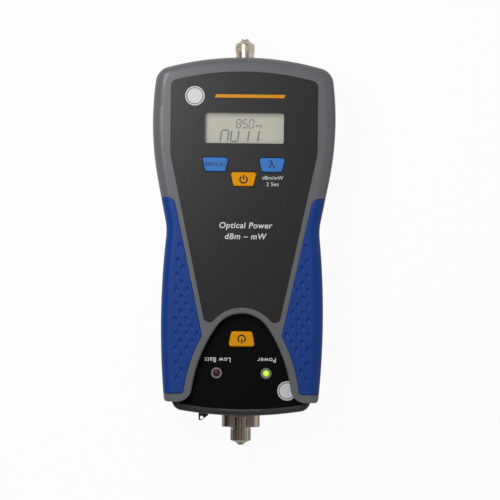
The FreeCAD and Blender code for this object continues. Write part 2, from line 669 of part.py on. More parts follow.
def make_rear_cover(outer, grips):
    """Back shell: dock floor with its rails, battery bay, and half of the port's saddle."""
    cover = outer.common(block(-REACH, REACH, -REACH, REACH, -REACH, PARTING_Z))
    cover = cover.cut(side_hollow(BACK_Z + WALL, PARTING_Z))
    cover = cover.fuse(port_saddle(PARTING_Z - PORT_FLANGE_RADIUS - WALL, PARTING_Z))
    cover = cover.cut(dock_pocket(DOCK_FLOOR, PARTING_Z + 1))
    cover = cover.fuse(battery_bay())
    for rail in dock_rails():
        cover = cover.fuse(rail)
    for x, y in screw_places():
        cover = cover.fuse(cylinder_z(x, y, BOSS_RADIUS, WALL / 2, PARTING_Z))
        cover = cover.fuse(cylinder_z(x, y, SCREW_HEAD_RADIUS + SCREW_PLAY + 1.2, WALL / 2, SCREW_SEAT + 1.5))
    half_x, half_y = door_half_sizes()
    low_y = METER_BATTERY_Y - half_y - DOOR_GAP
    high_y = METER_BATTERY_Y + half_y + DOOR_GAP
    door_room = DOOR_SINK + DOOR_THICKNESS + DOOR_GAP / 2
    tools = [port_seat(), battery_space()]
    tools.append(block(-half_x - DOOR_GAP, half_x + DOOR_GAP, low_y, high_y, -1, door_room))
    for x, y in screw_places():
        tools.append(cylinder_z(x, y, SCREW_HEAD_RADIUS + SCREW_PLAY, -1, SCREW_SEAT))
        tools.append(cylinder_z(x, y, SCREW_SHANK_RADIUS + SCREW_PLAY, -1, PARTING_Z + 1))
    for tool in tools + list(grips):
        cover = cover.cut(tool)
    return cover


# ---------------------------------------------------------------- face and display
def make_face_panel():
    """Textured panel with openings for the display and keys."""
    panel = panel_prism(PANEL_SEAT_Z, PANEL_Z)
    panel = panel.cut(display_prism(0, 0, REACH))
    for name in METER_KEYS:
        panel = panel.cut(grown_prism(meter_key_outline(name, 0, 1), KEY_GAP, PANEL_SEAT_Z - 1, REACH))
    return panel


def make_display_window():
    return display_prism(WINDOW_LEDGE - PANEL_GAP, PANEL_SEAT_Z - WINDOW_PLATE, PANEL_SEAT_Z)


def make_display_glass():
    half_x = GLASS_WIDTH / 2
    half_y = GLASS_HEIGHT / 2
    top = UNDERSIDE_Z - PANEL_GAP
    return block(-half_x, half_x, DISPLAY_Y - half_y, DISPLAY_Y + half_y, top - GLASS_THICKNESS, top)


def connector_block(side, gap, low_z, high_z):
    """One rubber strip along a long edge of the glass, or its slot."""
    centre_y = DISPLAY_Y + side * (GLASS_HEIGHT / 2 - CONNECTOR_WIDTH)
    half_y = CONNECTOR_WIDTH / 2 + gap
    half_x = GLASS_WIDTH / 2 - CONNECTOR_WIDTH + gap
    return block(-half_x, half_x, centre_y - half_y, centre_y + half_y, low_z, high_z)


def make_display_reflector():
    """White frame that stands on the board and holds the glass."""
    glass_low = UNDERSIDE_Z - PANEL_GAP - GLASS_THICKNESS
    half_x = GLASS_WIDTH / 2 + REFLECTOR_WALL
    half_y = GLASS_HEIGHT / 2 + REFLECTOR_WALL
    frame = block(-half_x, half_x, DISPLAY_Y - half_y, DISPLAY_Y + half_y, BOARD_TOP_Z, UNDERSIDE_Z - PANEL_GAP)
    half_x = GLASS_WIDTH / 2 + PANEL_GAP
    half_y = GLASS_HEIGHT / 2 + PANEL_GAP
    frame = frame.cut(block(-half_x, half_x, DISPLAY_Y - half_y, DISPLAY_Y + half_y, glass_low, REACH))
    for side in (-1, 1):
        frame = frame.cut(connector_block(side, PANEL_GAP, 0, REACH))
    return frame


def make_display_connectors():
    glass_low = UNDERSIDE_Z - PANEL_GAP - GLASS_THICKNESS
    strips = [connector_block(side, 0, BOARD_TOP_Z, glass_low) for side in (-1, 1)]
    return Part.makeCompound(strips)


# ---------------------------------------------------------------- keys
def flange_top(underside):
    return underside - KEY_GAP


def make_key(outline, underside, face):
    """Key cap with rounded top edges and a flange that stops it under the cover."""
    low = flange_top(underside) - KEY_FLANGE_THICKNESS
    top = face + KEY_PROUD
    cap = outline(low, top)
    cap = cap.makeFillet(KEY_EDGE_RADIUS, level_edges(cap, top))
    flange = grown_prism(outline(0, 1), KEY_FLANGE, low, flange_top(underside))
    return cap.fuse(flange).removeSplitter()


def mat_boss_top():
    pressed = flange_top(UNDERSIDE_Z) - KEY_FLANGE_THICKNESS - KEY_TRAVEL
    return pressed - KEY_GAP


def make_keypad_mat():
    """Rubber mat on the board with a boss under each key and a hollow over each switch."""
    base = BOARD_TOP_Z + KEY_FLANGE_THICKNESS
    half_x = BLUE_KEY_X + KEY_WIDE / 2
    low_y = POWER_KEY_Y - KEY_HEIGHT / 2
    high_y = BLUE_KEY_Y + KEY_HEIGHT / 2
    mat = block(-half_x, half_x, low_y, high_y, BOARD_TOP_Z, base)
    mat = mat.makeFillet(KEY_CORNER_RADIUS, upright_edges(mat, lambda x, y: True))
    for x, y in METER_KEYS.values():
        mat = mat.fuse(cylinder_z(x, y, SWITCH_RADIUS, base, mat_boss_top()))
    for x, y in METER_KEYS.values():
        room = BOARD_TOP_Z + SWITCH_HEIGHT + PANEL_GAP
        mat = mat.cut(cylinder_z(x, y, SWITCH_RADIUS + PANEL_GAP, BOARD_TOP_Z, room))
    return mat


def make_key_switches():
    """Snap domes on the board, one under each key."""
    domes = []
    for x, y in METER_KEYS.values():
        lip = SWITCH_HEIGHT / 2
        profile = [(0, BOARD_TOP_Z), (SWITCH_RADIUS, BOARD_TOP_Z), (SWITCH_RADIUS, BOARD_TOP_Z + lip)]
        profile += [(SWITCH_RADIUS / 2, BOARD_TOP_Z + SWITCH_HEIGHT), (0, BOARD_TOP_Z + SWITCH_HEIGHT)]
        domes.append(revolved_z(profile, x, y))
    return Part.makeCompound(domes)


# ---------------------------------------------------------------- boards
def make_main_board():
    """Board on the outline of the shell's inside, notched round the screw bosses."""
    inset = WALL + GRIP_THICKNESS + BOARD_GAP
    board = meter_plan(BOARD_Z, BOARD_TOP_Z, inset)
    board = board.common(block(-REACH, REACH, BOARD_LOW_Y, BOARD_HIGH_Y, BOARD_Z, BOARD_TOP_Z))
    notch = BOSS_RADIUS + SCREW_PLAY
    for x, y in screw_places():
        board = board.cut(cylinder_z(x, y, notch, BOARD_Z - 1, BOARD_TOP_Z + 1))
        edge_x = math.copysign(REACH, x)
        board = board.cut(block(min(x, edge_x), max(x, edge_x), y - notch, y + notch, BOARD_Z - 1, BOARD_TOP_Z + 1))
    return board


def make_board_components():
    """Chips, crystal and connectors on the main board, as bought."""
    chips = [
        (-14.0, 8.0, 12.0, 12.0, 1.6),
        (8.0, 10.0, 8.0, 6.0, 1.5),
        (18.0, 6.0, 4.0, 9.0, 2.4),
        (-2.0, -6.0, 10.0, 4.0, 3.2),
        (20.0, -4.0, 5.0, 5.0, 2.0),
        (0.0, BOARD_HIGH_Y - 4.0, 8.0, 5.0, 1.5),
        (-22.0, 17.0, 6.0, 6.0, 2.2),
    ]
    solids = []
    for x, y, length, width, height in chips:
        low = BOARD_TOP_Z
        solids.append(block(x - length / 2, x + length / 2, y - width / 2, y + width / 2, low, low + height))
    return Part.makeCompound(solids)


# ---------------------------------------------------------------- battery and its door
def battery_solids(centre_y, low_z):
    """Battery block lying across the body, its two snaps towards +X."""
    half_y = BATTERY_WIDTH / 2
    low_x = -BATTERY_REACH / 2 - CONTACT_PLATE / 2
    high_x = low_x + BATTERY_LENGTH
    high_z = low_z + BATTERY_THICKNESS
    case = block(low_x, high_x, centre_y - half_y, centre_y + half_y, low_z, high_z)
    long_edges = [edge for edge in case.Edges if edge.BoundBox.XLength > 1]
    case = case.makeFillet(BATTERY_CORNER_RADIUS, long_edges)
    middle_z = low_z + BATTERY_THICKNESS / 2
    for side in (-1, 1):
        foot = Vector(high_x, centre_y + side * SNAP_PITCH / 2, middle_z)
        case = case.fuse(Part.makeCylinder(SNAP_RADIUS, SNAP_HEIGHT, foot, Vector(1, 0, 0)))
    return case


def contact_solid(centre_y, low_z):
    """Contact plate that the battery's snaps press on."""
    low_x = BATTERY_REACH / 2 - CONTACT_PLATE / 2
    half_y = BATTERY_WIDTH / 2 - 1
    low = low_z + 1
    return block(low_x, low_x + CONTACT_PLATE, centre_y - half_y, centre_y + half_y, low, low_z + BATTERY_THICKNESS)


def make_battery_door():
    """Hinged door: its +Y edge is round about the hinge line, and a thumb groove marks the other."""
    half_x, half_y = door_half_sizes()
    radius = DOOR_THICKNESS / 2
    low_y = METER_BATTERY_Y - half_y
    hinge_y = METER_BATTERY_Y + half_y - radius
    door = block(-half_x, half_x, low_y, hinge_y, DOOR_SINK, DOOR_SINK + DOOR_THICKNESS)
    barrel = Part.makeCylinder(radius, 2 * half_x, Vector(-half_x, hinge_y, DOOR_SINK + radius), Vector(1, 0, 0))
    door = door.fuse(barrel)
    for step in range(3):
        groove_y = low_y + 3.0 + 1.6 * step
        groove = block(-7.0, 7.0, groove_y, groove_y + 0.8, -1, DOOR_SINK + 0.5)
        door = door.cut(groove)
    return door


# ---------------------------------------------------------------- screws
def screw_solid(x, y, seat_z, head_radius, head_height, radius, length):
    head = cylinder_z(x, y, head_radius, seat_z - head_height, seat_z)
    return head.fuse(cylinder_z(x, y, radius, seat_z, seat_z + length))


def make_case_screws():
    screws = []
    for x, y in screw_places():
        head = (SCREW_HEAD_RADIUS, SCREW_HEAD_HEIGHT)
        screws.append(screw_solid(x, y, SCREW_SEAT, head[0], head[1], SCREW_SHANK_RADIUS, SCREW_LENGTH))
    return Part.makeCompound(screws)


# ---------------------------------------------------------------- meter port and cap
def make_meter_port():
    """Turned port: captured flange, neck through the shell, and a barrel with two bayonet lugs."""
    low_y = PORT_FLANGE_Y - PORT_FLANGE_THICKNESS
    profile = [(PORT_INNER_Y, 0), (PORT_INNER_Y, PORT_NECK_RADIUS), (low_y, PORT_NECK_RADIUS)]
    profile += [(low_y, PORT_FLANGE_RADIUS), (PORT_FLANGE_Y, PORT_FLANGE_RADIUS)]
    profile += [(PORT_FLANGE_Y, PORT_NECK_RADIUS), (PORT_NECK_END_Y, PORT_NECK_RADIUS)]
    profile += [(PORT_NECK_END_Y, PORT_BARREL_RADIUS), (PORT_BARREL_END_Y, PORT_BARREL_RADIUS)]
    profile += [(PORT_BARREL_END_Y, 0)]
    port = revolved_y(profile, PARTING_Z)
    for turn in (0, 180):
        lug = cylinder_z(0, 0, LUG_RADIUS, 0, PORT_BARREL_RADIUS + LUG_HEIGHT)
        lug.rotate(Vector(0, 0, 0), Vector(0, 1, 0), turn - LUG_ANGLE)
        lug.translate(Vector(0, LUG_Y, PARTING_Z))
        port = port.fuse(lug)
    sleeve_low = PORT_BARREL_END_Y - SLEEVE_LENGTH
    port = port.cut(cylinder_y(SLEEVE_OUTER_RADIUS + SLEEVE_PLAY, sleeve_low, REACH, PARTING_Z))
    port = port.cut(cylinder_y(LIGHT_BORE_RADIUS, PORT_INNER_Y - 1, REACH, PARTING_Z))
    can_end = PORT_INNER_Y + CAN_LENGTH + CAN_FLANGE
    port = port.cut(cylinder_y(CAN_FLANGE_RADIUS + PORT_PLAY, PORT_INNER_Y - 1, PORT_INNER_Y + CAN_FLANGE, PARTING_Z))
    return port.cut(cylinder_y(CAN_RADIUS + PORT_PLAY, PORT_INNER_Y - 1, can_end, PARTING_Z))


def sleeve_solid(low_y, high_y, z):
    """Split ceramic sleeve that lines the ferrule up."""
    sleeve = cylinder_y(SLEEVE_OUTER_RADIUS, low_y, high_y, z).cut(cylinder_y(SLEEVE_INNER_RADIUS, low_y, high_y, z))
    return sleeve.cut(block(-0.15, 0.15, low_y, high_y, z, z + PORT_NECK_RADIUS))


def can_solid(open_end_y, outwards, z):
    """Metal-can photodiode or emitter with three leads; outwards is +1 when it looks towards +Y."""
    flange_end = open_end_y + outwards * CAN_FLANGE
    can_end = flange_end + outwards * CAN_LENGTH
    lead_end = open_end_y - outwards * LEAD_LENGTH
    solid = cylinder_y(CAN_FLANGE_RADIUS, min(open_end_y, flange_end), max(open_end_y, flange_end), z)
    solid = solid.fuse(cylinder_y(CAN_RADIUS, min(flange_end, can_end), max(flange_end, can_end), z))
    for x, lift in ((-1.2, 0.0), (1.2, 0.0), (0.0, 1.2)):
        lead = cylinder_y(LEAD_RADIUS, min(lead_end, open_end_y), max(lead_end, open_end_y), z + lift, x)
        solid = solid.fuse(lead)
    return solid


def make_meter_port_cap():
    """Knurled dust cap: slotted skirt, grip, shoulder and a stem with a driver slot."""
    skirt_end = CAP_START_Y + CAP_SKIRT_LENGTH
    grip_end = skirt_end + CAP_GRIP_LENGTH
    shoulder_end = grip_end + CAP_SHOULDER
    profile = [(CAP_START_Y, 0), (CAP_START_Y, CAP_SKIRT_RADIUS), (skirt_end, CAP_SKIRT_RADIUS)]
    profile += [(skirt_end, CAP_GRIP_RADIUS), (grip_end, CAP_GRIP_RADIUS), (shoulder_end, CAP_STEM_FOOT_RADIUS)]
    profile += [(shoulder_end, CAP_STEM_RADIUS), (CAP_END_Y, CAP_STEM_RADIUS), (CAP_END_Y, 0)]
    cap = revolved_y(profile, PARTING_Z)
    inner = PORT_BARREL_RADIUS + CAP_PLAY
    cap = cap.cut(cylinder_y(inner, CAP_START_Y - 1, grip_end - CAP_ROOF, PARTING_Z))
    slot = block(-SKIRT_SLOT / 2, SKIRT_SLOT / 2, CAP_START_Y - 1, LUG_Y + LUG_RADIUS + CAP_PLAY, -REACH, REACH)
    slot.rotate(Vector(0, 0, 0), Vector(0, 1, 0), -LUG_ANGLE)
    slot.translate(Vector(0, 0, PARTING_Z))
    cap = cap.cut(slot)
    half = CAP_SLOT / 2
    return cap.cut(block(-REACH, REACH, CAP_END_Y - CAP_SLOT_DEPTH, REACH, PARTING_Z - half, PARTING_Z + half))


# ---------------------------------------------------------------- source module
def source_plan(low_z, high_z):
    """Module's outline: straight sides, a crowned outer end and rounded corners."""
    solid = block(-SOURCE_HALF_WIDTH, SOURCE_HALF_WIDTH, SOURCE_END_Y, SOURCE_INNER_Y, low_z, high_z)
    solid = solid.common(cylinder_z(0, SOURCE_END_Y + SOURCE_END_RADIUS, SOURCE_END_RADIUS, low_z, high_z))
    middle_y = (SOURCE_END_Y + SOURCE_INNER_Y) / 2
    solid = solid.makeFillet(SOURCE_CORNER_RADIUS, upright_edges(solid, lambda x, y: y < middle_y))
    return solid.makeFillet(SOURCE_INNER_CORNER_RADIUS, upright_edges(solid, lambda x, y: y > SOURCE_INNER_Y - 1))


def source_block():
    solid = source_plan(SOURCE_BACK_Z, SOURCE_FACE_Z)
    solid = solid.makeFillet(SOURCE_EDGE_RADIUS, level_edges(solid, SOURCE_FACE_Z))
    return solid.makeFillet(SOURCE_BACK_EDGE_RADIUS, level_edges(solid, SOURCE_BACK_Z))


def source_panel_prism(low_z, high_z):
    """Panel in the module's face, one rim width inside the outline."""
    panel = grown_prism(source_plan(0, 1), -SOURCE_RIM, low_z, high_z)
    return panel.common(block(-REACH, REACH, -REACH, SOURCE_PANEL_INNER_Y, low_z, high_z))


def source_screw_places():
    places = []
    for side in (-1, 1):
        places.append((side * SOURCE_SCREW_X, SOURCE_SCREW_Y))
        places.append((side * SOURCE_END_SCREW_X, SOURCE_END_SCREW_Y))
    return places


def led_places():
    return {"led_red": -LED_X, "led_green": LED_X}


def source_eyelet():
    """Small loop for a lanyard on the outer end."""
    half = EYELET_WIDTH / 2
    foot_y = SOURCE_END_Y + SOURCE_WALL
    tip_y = SOURCE_END_Y - EYELET_REACH
    points = [(EYELET_X - half, foot_y), (EYELET_X + half, foot_y)]
    points += [(EYELET_X + half, SOURCE_END_Y), (EYELET_X - half * 0.3, tip_y), (EYELET_X - half, tip_y)]
    loop = polygon_prism(points, EYELET_Z, EYELET_Z + EYELET_THICKNESS)
    loop = loop.makeFillet(EYELET_WIDTH / 8, upright_edges(loop, lambda x, y: y < SOURCE_END_Y - 0.5))
    hole_x = EYELET_X - half * 0.35
    hole_y = SOURCE_END_Y - EYELET_REACH / 2
    return loop.cut(cylinder_z(hole_x, hole_y, EYELET_HOLE_RADIUS, 0, REACH))


def make_source_front_cover():
    cover = source_block().common(block(-REACH, REACH, -REACH, REACH, SOURCE_PARTING_Z, REACH))
    hollow = grown_prism(source_plan(0, 1), -SOURCE_WALL, SOURCE_PARTING_Z, SOURCE_UNDERSIDE_Z)
    cover = cover.cut(hollow)
    for x, y in source_screw_places():
        cover = cover.fuse(cylinder_z(x, y, SOURCE_BOSS_RADIUS, SOURCE_PARTING_Z, SOURCE_UNDERSIDE_Z))
    panel = source_panel_prism(0, 1)
    seat_z = SOURCE_PANEL_Z - SOURCE_PANEL_THICKNESS
    tools = [grown_prism(panel, PANEL_GAP, seat_z, REACH)]
    tools.append(grown_prism(source_key_outline(0, 1), KEY_GAP, SOURCE_UNDERSIDE_Z - 1, REACH))
    for x in led_places().values():
        tools.append(cylinder_z(x, LED_Y, LED_RADIUS + LED_PLAY, SOURCE_UNDERSIDE_Z - 1, REACH))
    tools.append(cylinder_y(SHANK_RADIUS + SHANK_PLAY, SOURCE_END_Y - 1, SOURCE_END_Y + 5, SOURCE_PARTING_Z))
    top = SOURCE_BACK_Z + SOURCE_WALL + SOURCE_SCREW_LENGTH + 1
    for x, y in source_screw_places():
        tools.append(cylinder_z(x, y, SOURCE_SCREW_RADIUS + PILOT_PLAY, 0, top))
    for tool in tools:
        cover = cover.cut(tool)
    return cover.fuse(source_eyelet())


def source_door_box(gap, low_z):
    """Battery door in the module's back, or its opening when gap is zero."""
    half_x, half_y = door_half_sizes()
    half_x = half_x - DOOR_MARGIN - gap
    half_y = half_y - DOOR_MARGIN - gap
    high_z = SOURCE_BACK_Z + SOURCE_WALL
    return block(-half_x, half_x, SOURCE_BATTERY_Y - half_y, SOURCE_BATTERY_Y + half_y, low_z, high_z)


def make_source_rear_cover():
    cover = source_block().common(block(-REACH, REACH, -REACH, REACH, -REACH, SOURCE_PARTING_Z))
    floor_z = SOURCE_BACK_Z + SOURCE_WALL
    cover = cover.cut(grown_prism(source_plan(0, 1), -SOURCE_WALL, floor_z, SOURCE_PARTING_Z))
    groove_x = SOURCE_HALF_WIDTH + DOCK_CLEARANCE - RAIL_HEIGHT - RAIL_PLAY
    low = RAIL_Z - RAIL_PLAY
    high = RAIL_Z + RAIL_WIDTH + RAIL_PLAY
    for x, y in source_screw_places():
        cover = cover.fuse(cylinder_z(x, y, SOURCE_BOSS_RADIUS, floor_z - 1, SOURCE_PARTING_Z))
    half = groove_x - SOURCE_WALL
    for side in (-1, 1):
        low_x, high_x = sorted((side * half, side * SOURCE_HALF_WIDTH - side * 0.5))
        backing = block(low_x, high_x, SOURCE_SCREW_Y, SOURCE_INNER_Y - 3, low - SOURCE_WALL, high + SOURCE_WALL)
        cover = cover.fuse(backing)
    tools = [source_door_box(0, SOURCE_BACK_Z - 1)]
    for side in (-1, 1):
        low_x, high_x = sorted((side * groove_x, side * REACH))
        tools.append(block(low_x, high_x, SOURCE_END_Y + SOURCE_CORNER_RADIUS + 1, REACH, low, high))
    tools.append(cylinder_y(SHANK_RADIUS + SHANK_PLAY, SOURCE_END_Y - 1, SOURCE_END_Y + 5, SOURCE_PARTING_Z))
    for x, y in source_screw_places():
        tools.append(cylinder_z(x, y, SOURCE_SCREW_HEAD_RADIUS + SCREW_PLAY / 2, 0, floor_z))
        tools.append(cylinder_z(x, y, SOURCE_SCREW_RADIUS + SCREW_PLAY / 2, 0, REACH))
    for tool in tools:
        cover = cover.cut(tool)
    return cover


def make_source_face_panel():
    """Panel with holes for the key and the two lamp rings."""
    panel = source_panel_prism(SOURCE_PANEL_Z - SOURCE_PANEL_THICKNESS, SOURCE_PANEL_Z)
    panel = panel.cut(grown_prism(source_key_outline(0, 1), KEY_GAP, 0, REACH))
    for x in led_places().values():
        panel = panel.cut(cylinder_z(x, LED_Y, LED_RING_RADIUS, 0, REACH))
    return panel


def make_led(x):
    """Domed lamp with its flange under the cover and two leads down to the board."""
    flange_z = SOURCE_UNDERSIDE_Z - CAN_FLANGE
    dome_z = SOURCE_PANEL_Z + LED_PROUD - LED_RADIUS
    body = cylinder_z(x, LED_Y, LED_FLANGE_RADIUS, flange_z - 0.4, SOURCE_UNDERSIDE_Z)
    body = body.fuse(cylinder_z(x, LED_Y, LED_RADIUS, SOURCE_UNDERSIDE_Z, dome_z))
    body = body.fuse(Part.makeSphere(LED_RADIUS, Vector(x, LED_Y, dome_z), Vector(0, 0, 1), 0, 90, 360))
    board_top = SOURCE_BOARD_Z + BOARD_THICKNESS
    for side in (-1, 1):
        body = body.fuse(cylinder_z(x + side * 0.9, LED_Y, LEAD_RADIUS, board_top, flange_z))
    return body


def make_led_rings():
    rings = []
    low = SOURCE_PANEL_Z - SOURCE_PANEL_THICKNESS
    high = SOURCE_PANEL_Z + LED_RING_PROUD
    for x in led_places().values():
        ring = cylinder_z(x, LED_Y, LED_RING_RADIUS, low, high)
        ring = ring.makeFillet(LED_RING_PROUD / 2, level_edges(ring, high))
        rings.append(ring.cut(cylinder_z(x, LED_Y, LED_RADIUS + LED_PLAY, 0, REACH)))
    return Part.makeCompound(rings)


def make_source_switch():
    """Push switch under the module's key."""
    board_top = SOURCE_BOARD_Z + BOARD_THICKNESS
    low_travel = flange_top(SOURCE_UNDERSIDE_Z) - KEY_FLANGE_THICKNESS - KEY_TRAVEL
    half = SWITCH_RADIUS
    top = board_top + SWITCH_HEIGHT
    body = block(-half, half, SOURCE_KEY_Y - half, SOURCE_KEY_Y + half, board_top, top)
    return body.fuse(cylinder_z(0, SOURCE_KEY_Y, SWITCH_RADIUS / 2, board_top, low_travel - KEY_GAP))


def make_source_board():
    half = SOURCE_BOARD_HALF_WIDTH
    top = SOURCE_BOARD_Z + BOARD_THICKNESS
    board = block(-half, half, SOURCE_BOARD_LOW_Y, SOURCE_BOARD_HIGH_Y, SOURCE_BOARD_Z, top)
    for x, y in source_screw_places():
        board = board.cut(cylinder_z(x, y, SOURCE_BOSS_RADIUS + SCREW_PLAY, SOURCE_BOARD_Z, top))
    return board


def flute_cutters(low_y, high_y, radius):
    """Round grooves along Y, evenly spaced about the port's axis."""
    cutters = []
    for step in range(FLUTE_COUNT):
        turn = math.radians(360.0 * step / FLUTE_COUNT)
        x = (radius + FLUTE_RADIUS * 0.45) * math.sin(turn)
        z = SOURCE_PARTING_Z + (radius + FLUTE_RADIUS * 0.45) * math.cos(turn)
        cutters.append(cylinder_y(FLUTE_RADIUS, low_y, high_y, z, x))
    return Part.makeCompound(cutters)


def make_source_port_flange():
    """Oval nickel flange; the collar stands in a counterbore that breaks through its flats."""
    back_y = SOURCE_END_Y - 0.02
    half_z = OVAL_DEPTH / 2
    half_x = OVAL_LENGTH / 2 - half_z
    z = SOURCE_PARTING_Z
    flange = block(-half_x, half_x, OVAL_END_Y, back_y, z - half_z, z + half_z)
    for side in (-1, 1):
        flange = flange.fuse(cylinder_y(half_z, OVAL_END_Y, back_y, z, side * half_x))
    flange = flange.removeSplitter()
    front = [edge for edge in flange.Edges if edge.BoundBox.YMax < OVAL_END_Y + 1e-3]
    flange = flange.makeFillet(OVAL_EDGE_RADIUS, front)
    flange = flange.cut(cylinder_y(COLLAR_RADIUS + SHANK_PLAY, OVAL_END_Y - 1, COLLAR_START_Y, z))
    return flange.cut(cylinder_y(SHANK_RADIUS + SHANK_PLAY, OVAL_END_Y - 1, SOURCE_END_Y + 1, z))


def make_source_port_barrel():
    """Turned barrel: shank through the shell, fluted collar and the barrel under the cap."""
    collar_end = COLLAR_START_Y - COLLAR_LENGTH
    profile = [(SHANK_INNER_Y, 0), (SHANK_INNER_Y, SHANK_RADIUS), (COLLAR_START_Y, SHANK_RADIUS)]
    profile += [(COLLAR_START_Y, COLLAR_RADIUS), (collar_end, COLLAR_RADIUS), (collar_end, PORT_BARREL_RADIUS)]
    profile += [(SOURCE_BARREL_END_Y, PORT_BARREL_RADIUS), (SOURCE_BARREL_END_Y, 0)]
    z = SOURCE_PARTING_Z
    barrel = revolved_y(profile, z).cut(flute_cutters(collar_end - 1, COLLAR_START_Y - 0.6, COLLAR_RADIUS))
    sleeve_high = SOURCE_BARREL_END_Y + SLEEVE_LENGTH
    barrel = barrel.cut(cylinder_y(SLEEVE_OUTER_RADIUS + SLEEVE_PLAY, SOURCE_BARREL_END_Y - 1, sleeve_high, z))
    barrel = barrel.cut(cylinder_y(LIGHT_BORE_RADIUS, SOURCE_BARREL_END_Y - 1, REACH, z))
    can_end = SHANK_INNER_Y - CAN_LENGTH - CAN_FLANGE
    return barrel.cut(cylinder_y(CAN_RADIUS + PORT_PLAY, can_end, REACH, z))


def make_source_port_nut():
    """Hexagon nut that clamps the shank to the inside of the end wall."""
    end_wall_y = SOURCE_END_Y + SOURCE_WALL + NUT_GAP
    corners = []
    for step in range(6):
        turn = math.radians(60.0 * step)
        x = NUT_RADIUS * math.cos(turn)
        corners.append(Vector(x, end_wall_y, SOURCE_PARTING_Z + NUT_RADIUS * math.sin(turn)))
    edges = [Part.makeLine(a, b) for a, b in zip(corners, corners[1:] + corners[:1])]
    nut = Part.Face(Part.Wire(edges)).extrude(Vector(0, NUT_THICKNESS, 0))
    return nut.cut(cylinder_y(SHANK_RADIUS + SHANK_PLAY, end_wall_y - 1, end_wall_y + 5, SOURCE_PARTING_Z))


def make_source_port_cap():
    """Fluted push-on dust cap that tapers to a slotted nipple."""
    shoulder_y = SOURCE_CAP_SKIRT_END_Y - CAP_SHOULDER
    profile = [(SOURCE_CAP_START_Y, 0), (SOURCE_CAP_START_Y, SOURCE_CAP_RADIUS)]
    profile += [(SOURCE_CAP_SKIRT_END_Y, SOURCE_CAP_RADIUS), (shoulder_y, SOURCE_CAP_STEM_FOOT_RADIUS)]
    profile += [(SOURCE_CAP_END_Y, SOURCE_CAP_STEM_RADIUS), (SOURCE_CAP_END_Y, 0)]
    z = SOURCE_PARTING_Z
    cap = revolved_y(profile, z)
    low_y = SOURCE_CAP_SKIRT_END_Y - CAP_SHOULDER
    cap = cap.cut(flute_cutters(low_y, SOURCE_CAP_START_Y - 0.5, SOURCE_CAP_RADIUS))
    bore_end = SOURCE_BARREL_END_Y - CAP_ROOF / 2
    cap = cap.cut(cylinder_y(PORT_BARREL_RADIUS + CAP_PLAY, bore_end, SOURCE_CAP_START_Y + 1, z))
    half = CAP_SLOT / 2
    return cap.cut(block(-half, half, SOURCE_CAP_END_Y - 1, SOURCE_CAP_END_Y + CAP_SLOT_DEPTH, 0, REACH))


def make_source_screws():
    screws = []
    seat_z = SOURCE_BACK_Z + SOURCE_WALL
    head_height = SOURCE_WALL - DOOR_SINK
    for x, y in source_screw_places():
        radius = SOURCE_SCREW_HEAD_RADIUS
        screws.append(screw_solid(x, y, seat_z, radius, head_height, SOURCE_SCREW_RADIUS, SOURCE_SCREW_LENGTH))
    return Part.makeCompound(screws)


# ---------------------------------------------------------------- all pieces
def make_all():
    os.makedirs("parts", exist_ok=True)
    outer = shaped_block()
    grips = make_grips()
    save("front_cover", make_front_cover(outer, grips))
    save("rear_cover", make_rear_cover(outer, grips))
    save("grip_left", grips[0])
    save("grip_right", grips[1])
    save("face_panel", make_face_panel())
    save("display_window", make_display_window())
    save("display_glass", make_display_glass())
    save("display_reflector", make_display_reflector())
    save("display_connectors", make_display_connectors())
    for name in METER_KEYS:
        outline = lambda low, high, key=name: meter_key_outline(key, low, high)
        save(name, make_key(outline, UNDERSIDE_Z, PANEL_Z))
    save("keypad_mat", make_keypad_mat())
    save("key_switches", make_key_switches())
    save("main_board", make_main_board())
    save("board_components", make_board_components())
    save("meter_port", make_meter_port())
    save("alignment_sleeve", sleeve_solid(PORT_BARREL_END_Y - SLEEVE_LENGTH, PORT_BARREL_END_Y - 0.2, PARTING_Z))
    save("photodiode", can_solid(PORT_INNER_Y, 1, PARTING_Z))
    save("meter_port_cap", make_meter_port_cap())
    save("battery", battery_solids(METER_BATTERY_Y, METER_BATTERY_Z))
    save("battery_contacts", contact_solid(METER_BATTERY_Y, METER_BATTERY_Z))
    save("battery_door", make_battery_door())
    save("case_screws", make_case_screws())

    save("source_front_cover", make_source_front_cover())
    save("source_rear_cover", make_source_rear_cover())
    save("source_face_panel", make_source_face_panel())
    save("source_key", make_key(source_key_outline, SOURCE_UNDERSIDE_Z, SOURCE_PANEL_Z))
    save("source_switch", make_source_switch())
    for name, x in led_places().items():
        save(name, make_led(x))
    save("led_rings", make_led_rings())
    save("source_board", make_source_board())
    save("source_port_flange", make_source_port_flange())
    save("source_port_barrel", make_source_port_barrel())
    save("source_port_nut", make_source_port_nut())
    sleeve_high = SOURCE_BARREL_END_Y + SLEEVE_LENGTH
    save("source_sleeve", sleeve_solid(SOURCE_BARREL_END_Y + 0.2, sleeve_high, SOURCE_PARTING_Z))
    save("source_emitter", can_solid(SHANK_INNER_Y + CAN_FLANGE, -1, SOURCE_PARTING_Z))
    save("source_port_cap", make_source_port_cap())
    save("source_battery", battery_solids(SOURCE_BATTERY_Y, SOURCE_BATTERY_Z))
    save("source_battery_contacts", contact_solid(SOURCE_BATTERY_Y, SOURCE_BATTERY_Z))
    save("source_battery_door", source_door_box(DOOR_GAP, SOURCE_BACK_Z))
    save("source_screws", make_source_screws())


make_all()
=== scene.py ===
import math

import bpy
import numpy as np
from mathutils import Matrix, Vector


